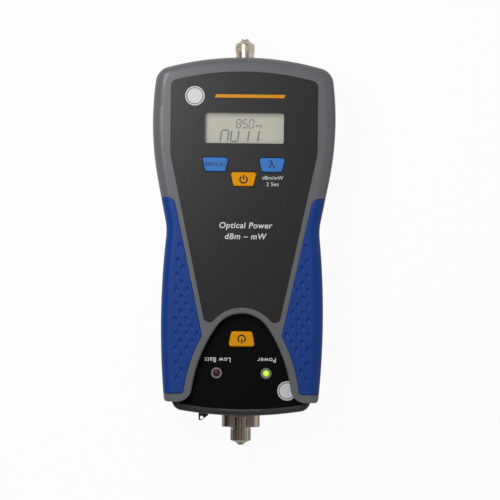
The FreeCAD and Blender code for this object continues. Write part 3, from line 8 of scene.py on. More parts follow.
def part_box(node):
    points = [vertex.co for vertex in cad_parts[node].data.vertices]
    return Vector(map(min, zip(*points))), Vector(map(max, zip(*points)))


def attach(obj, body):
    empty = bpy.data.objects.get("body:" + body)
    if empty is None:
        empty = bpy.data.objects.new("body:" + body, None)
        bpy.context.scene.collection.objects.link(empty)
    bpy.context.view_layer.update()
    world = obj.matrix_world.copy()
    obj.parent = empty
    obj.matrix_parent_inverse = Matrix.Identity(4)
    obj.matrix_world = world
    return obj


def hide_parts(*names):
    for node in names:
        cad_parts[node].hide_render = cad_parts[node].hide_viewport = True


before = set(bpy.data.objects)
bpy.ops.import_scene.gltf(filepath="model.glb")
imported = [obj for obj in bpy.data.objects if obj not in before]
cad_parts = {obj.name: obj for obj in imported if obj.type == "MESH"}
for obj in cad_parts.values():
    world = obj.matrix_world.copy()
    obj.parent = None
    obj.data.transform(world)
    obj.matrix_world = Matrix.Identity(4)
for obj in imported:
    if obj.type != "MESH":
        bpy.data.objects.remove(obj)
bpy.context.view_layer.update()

# Hand-held optical power meter lying on its back, with its light-source module docked in the
# lower end. +Y runs to the meter's port, +Z out of the face. Lengths below are in millimetres
# and are turned to metres where a mesh is made.

MM = 0.001


# ---------------------------------------------------------------- camera
# Looks straight down on the face from far enough away for little perspective, and is rolled
# a fraction of a degree, as if held by hand.
VIEW_WIDTH = 227.5
VIEW_CENTRE = (3.3, -3.64)
CAMERA_DISTANCE = 3000.0
CAMERA_ROLL = 0.0118
FACE_HEIGHT = 34.0
SENSOR = 36.0

lens = bpy.data.cameras.new("camera")
lens.sensor_width = SENSOR
lens.lens = SENSOR * CAMERA_DISTANCE / VIEW_WIDTH
lens.clip_end = 10.0
camera = bpy.data.objects.new("camera", lens)
camera.location = Vector((*VIEW_CENTRE, FACE_HEIGHT + CAMERA_DISTANCE)) * MM
camera.rotation_euler = (0.0, 0.0, CAMERA_ROLL)
bpy.context.collection.objects.link(camera)
bpy.context.scene.camera = camera
bpy.context.scene.view_settings.view_transform = "Standard"


# ---------------------------------------------------------------- floor, backdrop and lamps
# A pale table top that runs out to a white surround, with a soft lamp high on the left and a
# strip light over the left edge. The surround fills the shade, mostly from overhead, and gives
# gloss a bright right side and a dim left one.
def linear(hex_colour):
    """Linear RGBA of an sRGB hex colour."""
    parts = np.array([int(hex_colour[i:i + 2], 16) for i in (0, 2, 4)]) / 255.0
    low, high = parts / 12.92, ((parts + 0.055) / 1.055) ** 2.4
    return (*np.where(parts <= 0.04045, low, high).tolist(), 1.0)


def add(tree, kind, inputs=None, **settings):
    """Adds a shader node; inputs, by name or number, are constants or sockets to link."""
    made = tree.nodes.new(kind)
    for name, value in settings.items():
        setattr(made, name, value)
    for key, value in (inputs or {}).items():
        if isinstance(value, bpy.types.NodeSocket):
            tree.links.new(value, made.inputs[key])
        else:
            made.inputs[key].default_value = value
    return made


def mesh_piece(name, vertices, faces, material, smooth=True):
    """Object with its place in its mesh, from points in millimetres and a list of faces."""
    mesh = bpy.data.meshes.new(name)
    mesh.from_pydata((np.asarray(vertices, float) * MM).tolist(), [], faces)
    mesh.shade_smooth() if smooth else mesh.shade_flat()
    mesh.materials.append(material)
    mesh.update()
    piece = bpy.data.objects.new(name, mesh)
    bpy.context.collection.objects.link(piece)
    return piece


FLOOR_HALF = 3000.0
FLOOR_DROP = -0.05            # just clear of the flat back
FLOOR_WHITE = 0.95            # the rest is lit, and keeps the shadow
FLOOR_IN_GLOSS = 0.4
FILL_STRENGTH = 0.46          # what the surround gives matt surfaces from overhead
HORIZON_SHARE = 0.12          # how much of it is left towards the horizon
GLOSS_ZENITH = 0.25           # what gloss shows overhead, and to the left and right
GLOSS_LEFT = 0.06
GLOSS_RIGHT = 1.1
KEY_POWER = 0.7
STRIP_POWER = 0.42

world = bpy.data.worlds.new("white_surround")
world.use_nodes = True
bpy.context.scene.world = world
tree = world.node_tree
tree.nodes.clear()
path = add(tree, "ShaderNodeLightPath")
direction = add(tree, "ShaderNodeTexCoord")
axes = add(tree, "ShaderNodeSeparateXYZ", {0: direction.outputs["Generated"]})
tent = add(tree, "ShaderNodeMapRange", {"Value": axes.outputs["Z"], "From Min": 0.1, "From Max": 0.95,
                                        "To Min": HORIZON_SHARE, "To Max": 1.0})
fill = add(tree, "ShaderNodeMath", {0: FILL_STRENGTH, 1: tent.outputs[0]}, operation="MULTIPLY")
left = add(tree, "ShaderNodeMapRange", {"Value": axes.outputs["X"], "From Min": -0.8, "From Max": 0.0,
                                        "To Min": GLOSS_LEFT, "To Max": GLOSS_ZENITH})
right = add(tree, "ShaderNodeMapRange", {"Value": axes.outputs["X"], "From Min": 0.6, "From Max": 1.0,
                                         "To Min": 0.0, "To Max": GLOSS_RIGHT - GLOSS_ZENITH})
gloss = add(tree, "ShaderNodeMath", {0: left.outputs[0], 1: right.outputs[0]})
RAYS = ("Is Glossy Ray", "Is Transmission Ray", "Is Camera Ray")
gloss_ray, clear_ray, camera_ray = (path.outputs[kind] for kind in RAYS)
seen = add(tree, "ShaderNodeMath", {0: gloss_ray, 1: clear_ray}, operation="MAXIMUM")
strength = add(tree, "ShaderNodeMix", {0: seen.outputs[0], 2: fill.outputs[0], 3: gloss.outputs[0]})
strength = add(tree, "ShaderNodeMath", {0: strength.outputs[0], 1: camera_ray}, operation="MAXIMUM")
sky = add(tree, "ShaderNodeBackground", {"Color": linear("ffffff"), "Strength": strength.outputs[0]})
add(tree, "ShaderNodeOutputWorld", {"Surface": sky.outputs[0]})

# Laminate table top, pale and neutral, so it hardly tints the shadow. Its own white, which rays
# from the camera see, is partly seen in gloss as well.
laminate = bpy.data.materials.new("white_laminate")
laminate.use_nodes = True
tree = laminate.node_tree
tree.nodes.clear()
path = add(tree, "ShaderNodeLightPath")
matt = add(tree, "ShaderNodeBsdfDiffuse", {"Color": linear("dcdcdb")})
white = add(tree, "ShaderNodeEmission", {"Color": linear("ffffff"), "Strength": 1.0})
gloss_ray, clear_ray, camera_ray = (path.outputs[kind] for kind in RAYS)
share = add(tree, "ShaderNodeMath", {0: gloss_ray, 1: FLOOR_IN_GLOSS}, operation="MULTIPLY")
share = add(tree, "ShaderNodeMath", {0: share.outputs[0], 1: clear_ray}, operation="MAXIMUM")
share = add(tree, "ShaderNodeMath", {0: share.outputs[0], 1: camera_ray}, operation="MAXIMUM")
share = add(tree, "ShaderNodeMath", {0: share.outputs[0], 1: FLOOR_WHITE}, operation="MULTIPLY")
mix = add(tree, "ShaderNodeMixShader", {0: share.outputs[0], 1: matt.outputs[0], 2: white.outputs[0]})
add(tree, "ShaderNodeOutputMaterial", {"Surface": mix.outputs[0]})
SQUARE = [(-1, -1), (1, -1), (1, 1), (-1, 1)]
corners = [(x * FLOOR_HALF, y * FLOOR_HALF, FLOOR_DROP) for x, y in SQUARE]
floor = mesh_piece("table_top", corners, [(0, 1, 2, 3)], laminate, smooth=False)

LAMPS = {
    "key_lamp": ((-200.0, 310.0, 380.0), (90.0, 90.0), KEY_POWER),
    "strip_lamp": ((-125.0, 110.0, 350.0), (40.0, 130.0), STRIP_POWER),
}
for name, (place, size, power) in LAMPS.items():
    lamp = bpy.data.lights.new(name, "AREA")
    lamp.shape = "RECTANGLE"
    lamp.size, lamp.size_y = size[0] * MM, size[1] * MM
    lamp.energy = power
    holder = bpy.data.objects.new(name, lamp)
    holder.location = Vector(place) * MM
    holder.rotation_euler = (-Vector(place)).to_track_quat("-Z", "Y").to_euler()
    holder.visible_camera = False
    bpy.context.collection.objects.link(holder)


# ---------------------------------------------------------------- front frame and rear shell
# Two injection-moulded ABS shells, painted with a soft satin lacquer over a fine spark-eroded
# grain. They close on the port's axis and are held by screws from the back.
def moulded(name, colour, roughness, grain, depth, mottle=0.06, specular=0.5):
    """Moulded plastic, rubber or ink: a grain and its depth in millimetres as bump, faintly mottled."""
    material = bpy.data.materials.new(name)
    material.use_nodes = True
    tree = material.node_tree
    shader = tree.nodes["Principled BSDF"]
    place = add(tree, "ShaderNodeTexCoord")
    noise = add(tree, "ShaderNodeTexNoise", {"Vector": place.outputs["Object"], "Scale": 1.0 / (grain * MM),
                                             "Detail": 2.0, "Roughness": 0.55})
    base = linear(colour)
    dark = tuple(part * (1.0 - mottle) for part in base[:3]) + (1.0,)
    light = tuple(min(1.0, part * (1.0 + mottle)) for part in base[:3]) + (1.0,)
    height = noise.outputs["Fac"]
    tone = add(tree, "ShaderNodeMapRange", {"Value": height, "From Min": 0.35, "From Max": 0.65})
    mix = add(tree, "ShaderNodeMix", {0: tone.outputs[0], 6: dark, 7: light}, data_type="RGBA")
    bump = add(tree, "ShaderNodeBump", {"Height": height, "Distance": depth * MM, "Strength": 1.0})
    tree.links.new(mix.outputs[2], shader.inputs["Base Color"])
    tree.links.new(bump.outputs[0], shader.inputs["Normal"])
    shader.inputs["Roughness"].default_value = roughness
    shader.inputs["Specular IOR Level"].default_value = specular
    return material


def dress(material, *nodes):
    """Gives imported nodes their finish."""
    for node in nodes:
        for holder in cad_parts[node].material_slots:
            holder.material = material


# Grain drawn at 0.45 mm, coarser than the real 0.1 mm, so that it shows.
satin_abs = moulded("satin_lacquered_abs_grey", "67696c", 0.34, 0.45, 0.010)
dark_abs = moulded("moulded_abs_charcoal", "3d3f43", 0.45, 0.45, 0.015)
dress(satin_abs, "front_cover")
dress(dark_abs, "rear_cover", "battery_door")


# ---------------------------------------------------------------- face panel
# Black polycarbonate overlay with a leather-like grain, let into the frame so that a fine
# groove shows all round it.
panel_grain = moulded("grained_polycarbonate_black", "1a1a1c", 0.36, 0.55, 0.055, mottle=0.45)
dress(panel_grain, "face_panel")


# ---------------------------------------------------------------- soft grips
# Blue thermoplastic rubber moulded over the shells' sides, with staggered oval dimples on the
# face and an eased edge where it meets the frame.
GRIP_TOP_Y = 20.0
GRIP_BOTTOM_Y = -69.4
GRIP_LOW_Z = 5.0
GRIP_SKIN = 1.5
GRIP_EDGE = 0.5               # width of the eased edge
GRIP_EDGE_SINK = 0.35
GRIP_MIN_FACE = 0.6           # least width of a row's last stretch, where the arc is cut short
BODY_EDGE_RADIUS = 4.5
HIP_RADIUS, HIP_X, HIP_Y = 375.0, -338.1, -36.0
WAIST_X, WAIST_Y = 38.896, 27.419                     # a point on the head's taper
HEAD_TAPER = math.tan(math.radians(11.2))
WAIST_BLEND = 1.2
INNER_X = 31.46                                       # inner edge at the grip's top
INNER_TAPER = math.tan(math.radians(12.05))
DOME_RADIUS, DOME_Y = 17.4, -46.6                     # line along the dome's crown and side
FLANK_RADIUS, FLANK_X, FLANK_Y = 69.617, -43.017, -76.2
DOME_TO_FLANK_Y = -36.74
INNER_BLEND = 0.32
TOP_CORNER, TOP_CORNER_X, TOP_CORNER_Y = 3.6, 34.373, 16.4
TOP_CORNER_LOW_Y = 17.15
FOOT_CORNER, FOOT_CORNER_Y = 2.0, -67.4
FOOT_CORNER_HIGH_Y = -67.6
DIMPLE_ROWS = 19
DIMPLE_PITCH_Y = 3.35
DIMPLE_PITCH_X = 2.45
DIMPLE_FIRST_Y = -1.8
DIMPLE_MARGIN = 6.6           # outermost dimples in from the outline
DIMPLE_INNER_MARGIN = 1.5
DIMPLE_HALF = (0.8, 1.1)
DIMPLE_DEPTH = 0.55


def smooth_max(a, b, width):
    """Larger of two curves, with their crossing rounded over a band of that width."""
    share = np.clip(0.5 + 0.5 * (a - b) / width, 0.0, 1.0)
    return b + (a - b) * share + width * share * (1.0 - share)


def outline_x(y):
    """Half-width of the body: the hips' long arc and the head's straight taper, blended at the waist."""
    hips = HIP_X + np.sqrt(HIP_RADIUS ** 2 - (y - HIP_Y) ** 2)
    taper = WAIST_X - (WAIST_Y - y) * HEAD_TAPER
    return smooth_max(hips, taper, WAIST_BLEND)


def grip_inner_x(y):
    """Grip's inner edge: a straight run, then a line parallel to the dome, with rounded corners."""
    line = INNER_X - (GRIP_TOP_Y - y) * INNER_TAPER
    crown = np.sqrt(np.maximum(DOME_RADIUS ** 2 - (y - DOME_Y) ** 2, 0.0))
    flank = FLANK_X + np.sqrt(np.maximum(FLANK_RADIUS ** 2 - (y - FLANK_Y) ** 2, 0.0))
    inner = smooth_max(line, np.where(y > DOME_TO_FLANK_Y, crown, flank), INNER_BLEND)
    rise = np.maximum(y - TOP_CORNER_Y, 0.0)
    top = TOP_CORNER_X - np.sqrt(np.maximum(TOP_CORNER ** 2 - rise ** 2, 0.0))
    inner = np.where(y > TOP_CORNER_LOW_Y, top, inner)
    drop = np.minimum(y - FOOT_CORNER_Y, 0.0)
    foot_x = FLANK_X + math.sqrt(FLANK_RADIUS ** 2 - (FOOT_CORNER_Y - FLANK_Y) ** 2) + FOOT_CORNER + 0.01
    foot = foot_x - np.sqrt(np.maximum(FOOT_CORNER ** 2 - drop ** 2, 0.0))
    return np.where(y < FOOT_CORNER_HIGH_Y, foot, inner)


def grid_faces(rows, columns, closed=False):
    """Quads of a grid of points stored row by row; closed joins each row's ends."""
    last = columns if closed else columns - 1
    i, j = np.meshgrid(np.arange(rows - 1), np.arange(last), indexing="ij")
    after = (j + 1) % columns
    low, high = i * columns, (i + 1) * columns
    return np.stack([low + j, low + after, high + after, high + j], -1).reshape(-1, 4)


def grip_surface(face_z):
    """Right grip: each row across runs up the wall, round a quarter circle and in over the face.

    Points are found from arc length s along that profile; dimples are half ellipsoids pressed in
    along the normal, and the surface falls off by a quarter circle at its edge."""
    rows, wall_columns, arc_columns, flat_columns = 300, 10, 16, 86
    y = np.linspace(GRIP_TOP_Y, GRIP_BOTTOM_Y, rows)[:, None]
    outer = outline_x(y)
    slope = np.gradient(outer[:, 0], y[:, 0])[:, None]
    run = np.sqrt(1.0 + slope ** 2)
    radius = BODY_EDGE_RADIUS
    inner = grip_inner_x(y)
    flat = outer - radius * run - inner
    short = np.arcsin(np.clip(-flat / (radius * run), 0, 1))
    turn_end = math.pi / 2 - np.where(flat > 0, 0.0, short)
    wall = face_z - radius - GRIP_LOW_Z
    arc_end = wall + radius * turn_end
    total = arc_end + np.maximum(flat, 0.0)
    knee = np.minimum(arc_end, total - GRIP_MIN_FACE)
    t_wall = np.linspace(0, 1, wall_columns, endpoint=False)[None, :]
    t_arc = np.linspace(0, 1, arc_columns, endpoint=False)[None, :]
    t_flat = np.linspace(0, 1, flat_columns)[None, :]
    s = [wall * t_wall + 0 * y, wall + (knee - wall) * t_arc, knee + (total - knee) * t_flat]
    s = np.concatenate(s, 1)
    turn = np.clip((s - wall) / radius, 0.0, math.pi / 2)
    beyond = np.maximum(s - wall - radius * math.pi / 2, 0.0)
    x = outer - radius * run * (1.0 - np.cos(turn)) - beyond
    z = GRIP_LOW_Z + np.minimum(s, wall) + radius * np.sin(turn)
    normal = np.stack([np.cos(turn) / run, -np.cos(turn) * slope / run, np.sin(turn)], -1)
    sink = np.zeros_like(x)
    for row in range(DIMPLE_ROWS):
        dimple_y = DIMPLE_FIRST_Y - DIMPLE_PITCH_Y * row
        edge = float(outline_x(np.array(dimple_y))) - DIMPLE_MARGIN - DIMPLE_PITCH_X * (row % 2)
        inner_end = float(grip_inner_x(np.array(dimple_y))) + DIMPLE_INNER_MARGIN
        for dimple_x in np.arange(edge, inner_end, -2 * DIMPLE_PITCH_X):
            reach = ((x - dimple_x) / DIMPLE_HALF[0]) ** 2 + ((y - dimple_y) / DIMPLE_HALF[1]) ** 2
            sink = np.maximum(sink, DIMPLE_DEPTH * np.sqrt(np.clip(1.0 - reach, 0.0, 1.0)))
    inner_slope = np.gradient(inner[:, 0], y[:, 0])[:, None]
    border = (total - s) / np.sqrt(1.0 + inner_slope ** 2)
    border = np.minimum(border, np.minimum(GRIP_TOP_Y - y, y - GRIP_BOTTOM_Y))
    border = np.clip(1.0 - border / GRIP_EDGE, 0.0, 1.0)
    sink += GRIP_EDGE_SINK * (1.0 - np.sqrt(1.0 - border ** 2))
    points = np.stack([x, y + 0 * x, z], -1) - normal * sink[..., None]
    return points.reshape(-1, 3), grid_faces(rows, x.shape[1])


# Thermoplastic rubber: satin, saturated blue, with a faint grain.
grip_rubber = moulded("overmoulded_rubber_blue", "0d3c8e", 0.42, 0.5, 0.02, mottle=0.08, specular=0.3)
grip_points, grip_quads = grip_surface(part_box("grip_right")[1].z / MM)
for name, side in (("grip_right", 1), ("grip_left", -1)):
    quads = grip_quads if side > 0 else grip_quads[:, ::-1]
    grip = mesh_piece(name + "_dimpled", grip_points * (side, 1, 1), quads.tolist(), grip_rubber)
    skin = grip.modifiers.new("skin", "SOLIDIFY")
    skin.thickness = GRIP_SKIN * MM
    skin.offset = -1.0
    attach(grip, "meter")
    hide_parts(name)


# ---------------------------------------------------------------- display
# Reflective liquid-crystal glass behind a clear window. Its dark segments are thin slanted
# bars with mitred ends: a small upper line and a tall lower line that the window cuts off.
SEGMENTS = {"0": "abcdef", "1": "bc", "2": "abdeg", "3": "abcdg", "4": "bcfg", "5": "acdfg",
            "6": "acdefg", "7": "abc", "8": "abcdefg", "9": "abcdfg"}
SLANT = 0.14
LINE_SMALL = dict(digits="850", left=-3.75, low=51.9, width=2.0, height=3.7, pitch=2.9, bar=0.42)
LINE_LARGE = dict(digits="0411", left=-11.6, low=40.6, width=3.3, height=10.2, pitch=4.6, bar=0.62)
LCD_FRAME = 1.3               # the glass's blind edge, which cuts the lower line off
CAPITAL_SHARE = 0.7           # height of a capital in the font's size
PRINT_THICKNESS = 0.02


def segment_bars(line, low_y, z):
    """Mitred bars of seven-segment digits; each is a long hexagon, cut off below low_y."""
    w, h, bar = line["width"], line["height"], line["bar"]
    ends = {"a": (0, h, w, h), "g": (0, h / 2, w, h / 2), "d": (0, 0, w, 0), "f": (0, h / 2, 0, h),
            "b": (w, h / 2, w, h), "e": (0, 0, 0, h / 2), "c": (w, 0, w, h / 2)}
    points, faces = [], []
    for place, digit in enumerate(line["digits"]):
        for key in SEGMENTS[digit]:
            x0, y0, x1, y1 = ends[key]
            start, end = np.array([x0, y0], float), np.array([x1, y1], float)
            along = (end - start) / np.linalg.norm(end - start)
            across = np.array([-along[1], along[0]]) * bar / 2
            start, end = start + along * bar * 0.25, end - along * bar * 0.25
            tips = [start, start + along * bar / 2 + across, end - along * bar / 2 + across, end]
            tips += [end - along * bar / 2 - across, start + along * bar / 2 - across]
            tips = np.array(tips[::-1]) + (line["left"] + place * line["pitch"], line["low"])
            tips[:, 1] = np.maximum(tips[:, 1], low_y)
            if np.ptp(tips[:, 1]) < 1e-6:
                continue
            tips[:, 0] += SLANT * (tips[:, 1] - line["low"])
            faces.append(list(range(len(points), len(points) + 6)))
            points += [(px, py, z) for px, py in tips]
    return points, faces


def lettering(name, words, height, place, material, body, turn=0.0, weight=0.0, lean=0.0, spacing=1.1):
    """Printed words, centred on a place and laid flat; turn is in degrees, weight thickens them."""
    curve = bpy.data.curves.new(name, "FONT")
    curve.body = words
    curve.size = height * MM / CAPITAL_SHARE
    curve.align_x = "CENTER"
    curve.align_y = "CENTER"
    curve.extrude = PRINT_THICKNESS * MM
    curve.offset = weight * MM
    curve.shear = lean
    curve.space_character = spacing
    holder = bpy.data.objects.new(name, curve)
    bpy.context.collection.objects.link(holder)
    mesh = bpy.data.meshes.new_from_object(holder)
    bpy.data.objects.remove(holder)
    mesh.transform(Matrix.Translation(Vector(place) * MM) @ Matrix.Rotation(math.radians(turn), 4, "Z"))
    mesh.materials.clear()
    mesh.materials.append(material)
    piece = bpy.data.objects.new(name, mesh)
    bpy.context.collection.objects.link(piece)
    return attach(piece, body)


# Polariser film over a grey-beige reflector: satin, with a very soft grain.
lcd_film = moulded("lcd_polariser_film", "c5c2b2", 0.5, 0.5, 0.002, mottle=0.015, specular=0.3)
lcd_ink = moulded("lcd_segment", "4c4c46", 0.5, 0.5, 0.002, mottle=0.02, specular=0.3)
dress(lcd_film, "display_glass")
glass_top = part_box("display_glass")[1].z / MM
window_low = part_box("display_window")[0] / MM
for name, line in (("lcd_upper_line", LINE_SMALL), ("lcd_lower_line", LINE_LARGE)):
    points, faces = segment_bars(line, window_low.y + LCD_FRAME, glass_top + 0.02)
    bars = mesh_piece(name, points, faces, lcd_ink, smooth=False)
    thick = bars.modifiers.new("film", "SOLIDIFY")
    thick.thickness = PRINT_THICKNESS * MM
    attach(bars, "meter")
lettering("lcd_unit", "nm", 1.6, (6.8, 52.9, glass_top + 0.03), lcd_ink, "meter", weight=0.03)

# Clear acrylic window: mostly see-through, with a gloss.
acrylic = bpy.data.materials.new("clear_acrylic_window")
acrylic.use_nodes = True
shader = acrylic.node_tree.nodes["Principled BSDF"]
shader.inputs["Base Color"].default_value = linear("eef0ec")
shader.inputs["Roughness"].default_value = 0.06
shader.inputs["Alpha"].default_value = 0.10
dress(acrylic, "display_window")
dress(moulded("moulded_white_plastic", "d8d8d2", 0.5, 0.5, 0.004), "display_reflector")
dress(moulded("conductive_rubber", "202020", 0.8, 0.5, 0.01), "display_connectors")


# ---------------------------------------------------------------- keys
# Three hard caps on a silicone mat: two blue and one amber, moulded glossy with printed dark
# marks. The source module has an amber one of its own, set the other way up.
SYMBOL_RADIUS = 1.62
SYMBOL_LINE = 0.68
SYMBOL_OPENING = 38           # degrees each side of the bar
INK_THICKNESS = 0.03
KEY_X = 12.9


def power_symbol(name, x, y, z, up, material, body):
    """Standby mark: a ring open at its top, and a bar that stands in the opening."""
    steps = 49
    turns = np.radians(np.linspace(90 + SYMBOL_OPENING, 450 - SYMBOL_OPENING, steps))[:, None]
    half, top = SYMBOL_LINE / 2, SYMBOL_RADIUS + 0.5
    radii = np.array([SYMBOL_RADIUS - half, SYMBOL_RADIUS + half])
    ring = np.stack([np.cos(turns) * radii, np.sin(turns) * radii, np.zeros((steps, 2))], -1)
    bar = [(-half, 0, 0), (half, 0, 0), (half, top, 0), (-half, top, 0)]
    points = np.vstack([ring.reshape(-1, 3), bar]) * (up, up, 1) + (x, y, z)
    quads = grid_faces(steps, 2).tolist()
    quads.append([2 * steps + corner for corner in range(4)])
    mark = mesh_piece(name, points, quads, material, smooth=False)
    thick = mark.modifiers.new("ink", "SOLIDIFY")
    thick.thickness = INK_THICKNESS * MM
    thick.offset = 0.0
    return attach(mark, body)


# Glossy ABS caps.
key_blue = moulded("glossy_abs_blue", "427ecb", 0.2, 0.8, 0.002, mottle=0.03, specular=0.3)
key_amber = moulded("glossy_abs_amber", "e59a00", 0.22, 0.8, 0.002, mottle=0.03, specular=0.25)
key_print = moulded("pad_printed_ink_dark", "15120e", 0.5, 0.5, 0.002)
dress(key_blue, "key_left", "key_right")
dress(key_amber, "key_power", "source_key")
key_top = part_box("key_power")[1].z / MM
source_key_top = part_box("source_key")[1].z / MM
half_ink = INK_THICKNESS / 2
power_symbol("power_mark", 0.0, 28.4, key_top + half_ink, 1, key_print, "power_key")
power_symbol("source_power_mark", 0.0, -44.1, source_key_top + half_ink, -1, key_print, "source_power_key")
print_z = key_top + 0.01
lettering("wavelength_mark", "λ", 3.3, (KEY_X, 35.2, print_z), key_print, "right_key", weight=0.04)
lettering("reference_mark", "REF/CAL", 1.7, (-KEY_X, 35.1, print_z), key_print, "left_key", weight=0.03)
dress(moulded("silicone_translucent", "b4b4ae", 0.45, 0.5, 0.004), "keypad_mat")


# ---------------------------------------------------------------- printing on the panel
# Screen-printed marks in white and amber. The maker's places hold only a bare disc and a
# plain stripe.
BADGE_CENTRE = (-22.6, 66.2)
BADGE_RADIUS = 4.4
BADGE_LINE = 0.55             # width of its rim
BADGE_FIELD = 3.5             # radius of the disc inside the rim
STRIPE_CENTRE = (2.6, 66.3)
STRIPE_HALF = (15.8, 0.75)
STRIPE_LEAN = 0.4
LEGEND_X = 13.2               # small legends, under the right key
TITLE_X = 1.0
panel_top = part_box("face_panel")[1].z / MM
white_ink = moulded("screen_printed_ink_white", "d9dadb", 0.5, 0.5, 0.003, mottle=0.03)
amber_ink = moulded("screen_printed_ink_amber", "dd9408", 0.5, 0.5, 0.003, mottle=0.05, specular=0.25)


def flat_ring(name, x, y, z, inner, outer, material, body):
    """Flat printed band between two circles."""
    steps = 72
    turns = np.linspace(0, 2 * math.pi, steps, endpoint=False)[None, :]
    radii = np.array([outer, inner])[:, None]
    points = np.stack([x + radii * np.cos(turns), y + radii * np.sin(turns), np.full((2, steps), z)], -1)
    quads = grid_faces(2, steps, closed=True).tolist()
    band = mesh_piece(name, points.reshape(-1, 3), quads, material, smooth=False)
    thick = band.modifiers.new("ink", "SOLIDIFY")
    thick.thickness = INK_THICKNESS * MM
    thick.offset = 0.0
    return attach(band, body)


def bare_badge(name, x, y, z, body):
    """Plain disc with a thin rim round it."""
    flat_ring(name + "_rim", x, y, z, BADGE_RADIUS - BADGE_LINE, BADGE_RADIUS, white_ink, body)
    flat_ring(name + "_field", x, y, z, 0.02, BADGE_FIELD, white_ink, body)


ink_z = panel_top + INK_THICKNESS / 2
bare_badge("badge", *BADGE_CENTRE, ink_z, "meter")
stripe = np.array(SQUARE) * STRIPE_HALF + STRIPE_CENTRE
stripe[:, 0] += np.array(SQUARE)[:, 1] * STRIPE_LEAN
stripe = np.column_stack([stripe, np.full(4, ink_z)])
stripe = mesh_piece("name_stripe", stripe, [(0, 1, 2, 3)], amber_ink, smooth=False)
stripe.modifiers.new("ink", "SOLIDIFY").thickness = INK_THICKNESS * MM
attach(stripe, "meter")
lettering("unit_legend", "dBm/mW", 1.58, (LEGEND_X, 29.2, panel_top), white_ink, "meter", weight=0.02)
lettering("time_legend", "2 Sec", 1.7, (LEGEND_X, 26.3, panel_top), white_ink, "meter", weight=0.02)
TITLES = {"quantity_legend": ("Optical Power", 7.4), "scale_legend": ("dBm – mW", 2.4)}
for name, (words, title_y) in TITLES.items():
    place = (TITLE_X, title_y, panel_top)
    lettering(name, words, 2.6, place, white_ink, "meter", weight=0.07, lean=0.15)


# ---------------------------------------------------------------- meter port and its dust cap
# Turned brass, nickel plated; its base colour is painted lighter than the source port's nickel, as a
# painted reflection. The cap's grip is a rolled diamond knurl, modelled as a band over the turned body, and
# its shoulder is a crown pressed over the stem.
KNURL_TEETH = 34
KNURL_DEPTH = 0.15
KNURL_LOW, KNURL_HIGH = 0.3, 0.1           # plain strips below and above the knurl
KNURL_EASE = 0.35                          # length over which the teeth fade at each end
KNURL_ROOT, KNURL_BORE = 0.05, 0.3         # in from the cap's radius
CAP_SKIRT = 1.9
CAP_GRIP = 3.6
CAP_RADIUS = 4.3
CROWN_PROFILE = [(-2.85, 1.2), (-2.85, 4.1), (-2.7, 4.25), (-2.4, 4.15), (-1.35, 2.4), (-1.1, 2.1),
                 (-0.6, 1.85), (-0.45, 1.7), (-0.45, 1.2)]      # back from the cap's end, radius
RING_SCALE = (200.0, 6000.0, 200.0)        # per metre: rings 0.17 mm apart along the axis


def turned_metal(name, colour, roughness, spread):
    """Plated turned metal: fine rings round the axis and a slight change of gloss."""
    material = bpy.data.materials.new(name)
    material.use_nodes = True
    tree = material.node_tree
    shader = tree.nodes["Principled BSDF"]
    place = add(tree, "ShaderNodeTexCoord")
    stretch = add(tree, "ShaderNodeMapping", {"Vector": place.outputs["Object"], "Scale": RING_SCALE})
    noise = add(tree, "ShaderNodeTexNoise", {"Vector": stretch.outputs[0], "Scale": 1.0, "Detail": 2.0})
    gloss = add(tree, "ShaderNodeMapRange", {"Value": noise.outputs["Fac"], "To Min": roughness - spread,
                                             "To Max": roughness + spread})
    bump = add(tree, "ShaderNodeBump", {"Height": noise.outputs["Fac"], "Distance": 0.006 * MM})
    tree.links.new(gloss.outputs[0], shader.inputs["Roughness"])
    tree.links.new(bump.outputs[0], shader.inputs["Normal"])
    shader.inputs["Base Color"].default_value = linear(colour)
    shader.inputs["Metallic"].default_value = 1.0
    return material


def knurled_band(low_y, high_y, radius, axis_z):
    """Closed sleeve: its outer radius adds the product of two crossed sine helices, eased at the ends."""
    rows, columns = 48, 312
    y = np.linspace(low_y, high_y, rows)[:, None]
    turn = np.linspace(0, 2 * math.pi, columns, endpoint=False)[None, :]
    climb = KNURL_TEETH * (y - low_y) / radius
    around = KNURL_TEETH * turn
    waves = np.abs(np.sin((around + climb) / 2) * np.sin((around - climb) / 2))
    ease = np.clip(np.minimum(y - low_y, high_y - y) / KNURL_EASE, 0.0, 1.0)
    outer = radius - KNURL_ROOT + KNURL_DEPTH * waves * ease
    inner = np.full((rows, columns), radius - KNURL_BORE)
    radii = np.vstack([outer, inner[::-1]])
    y = np.vstack([y, y[::-1]]) + 0 * radii
    points = np.stack([radii * np.sin(turn), y, axis_z + radii * np.cos(turn)], -1)
    wrap = np.vstack([np.arange(2 * rows * columns).reshape(2 * rows, columns), np.arange(columns)])
    quads = np.stack([wrap[:-1], np.roll(wrap[:-1], -1, 1), np.roll(wrap[1:], -1, 1), wrap[1:]], -1)
    return points.reshape(-1, 3), quads.reshape(-1, 4)


def turned_ring(name, profile, axis_z, material, body):
    """Ring turned about the port's axis from a closed profile of (y, radius) points."""
    profile = np.array(profile + profile[:1])[:, :, None]
    steps = 96
    turn = np.linspace(0, 2 * math.pi, steps, endpoint=False)[None, :]
    y, radii = profile[:, 0] + 0 * turn, profile[:, 1] + 0 * turn
    points = np.stack([radii * np.sin(turn), y, axis_z + radii * np.cos(turn)], -1)
    quads = grid_faces(len(profile), steps, closed=True).tolist()
    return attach(mesh_piece(name, points.reshape(-1, 3), quads, material), body)
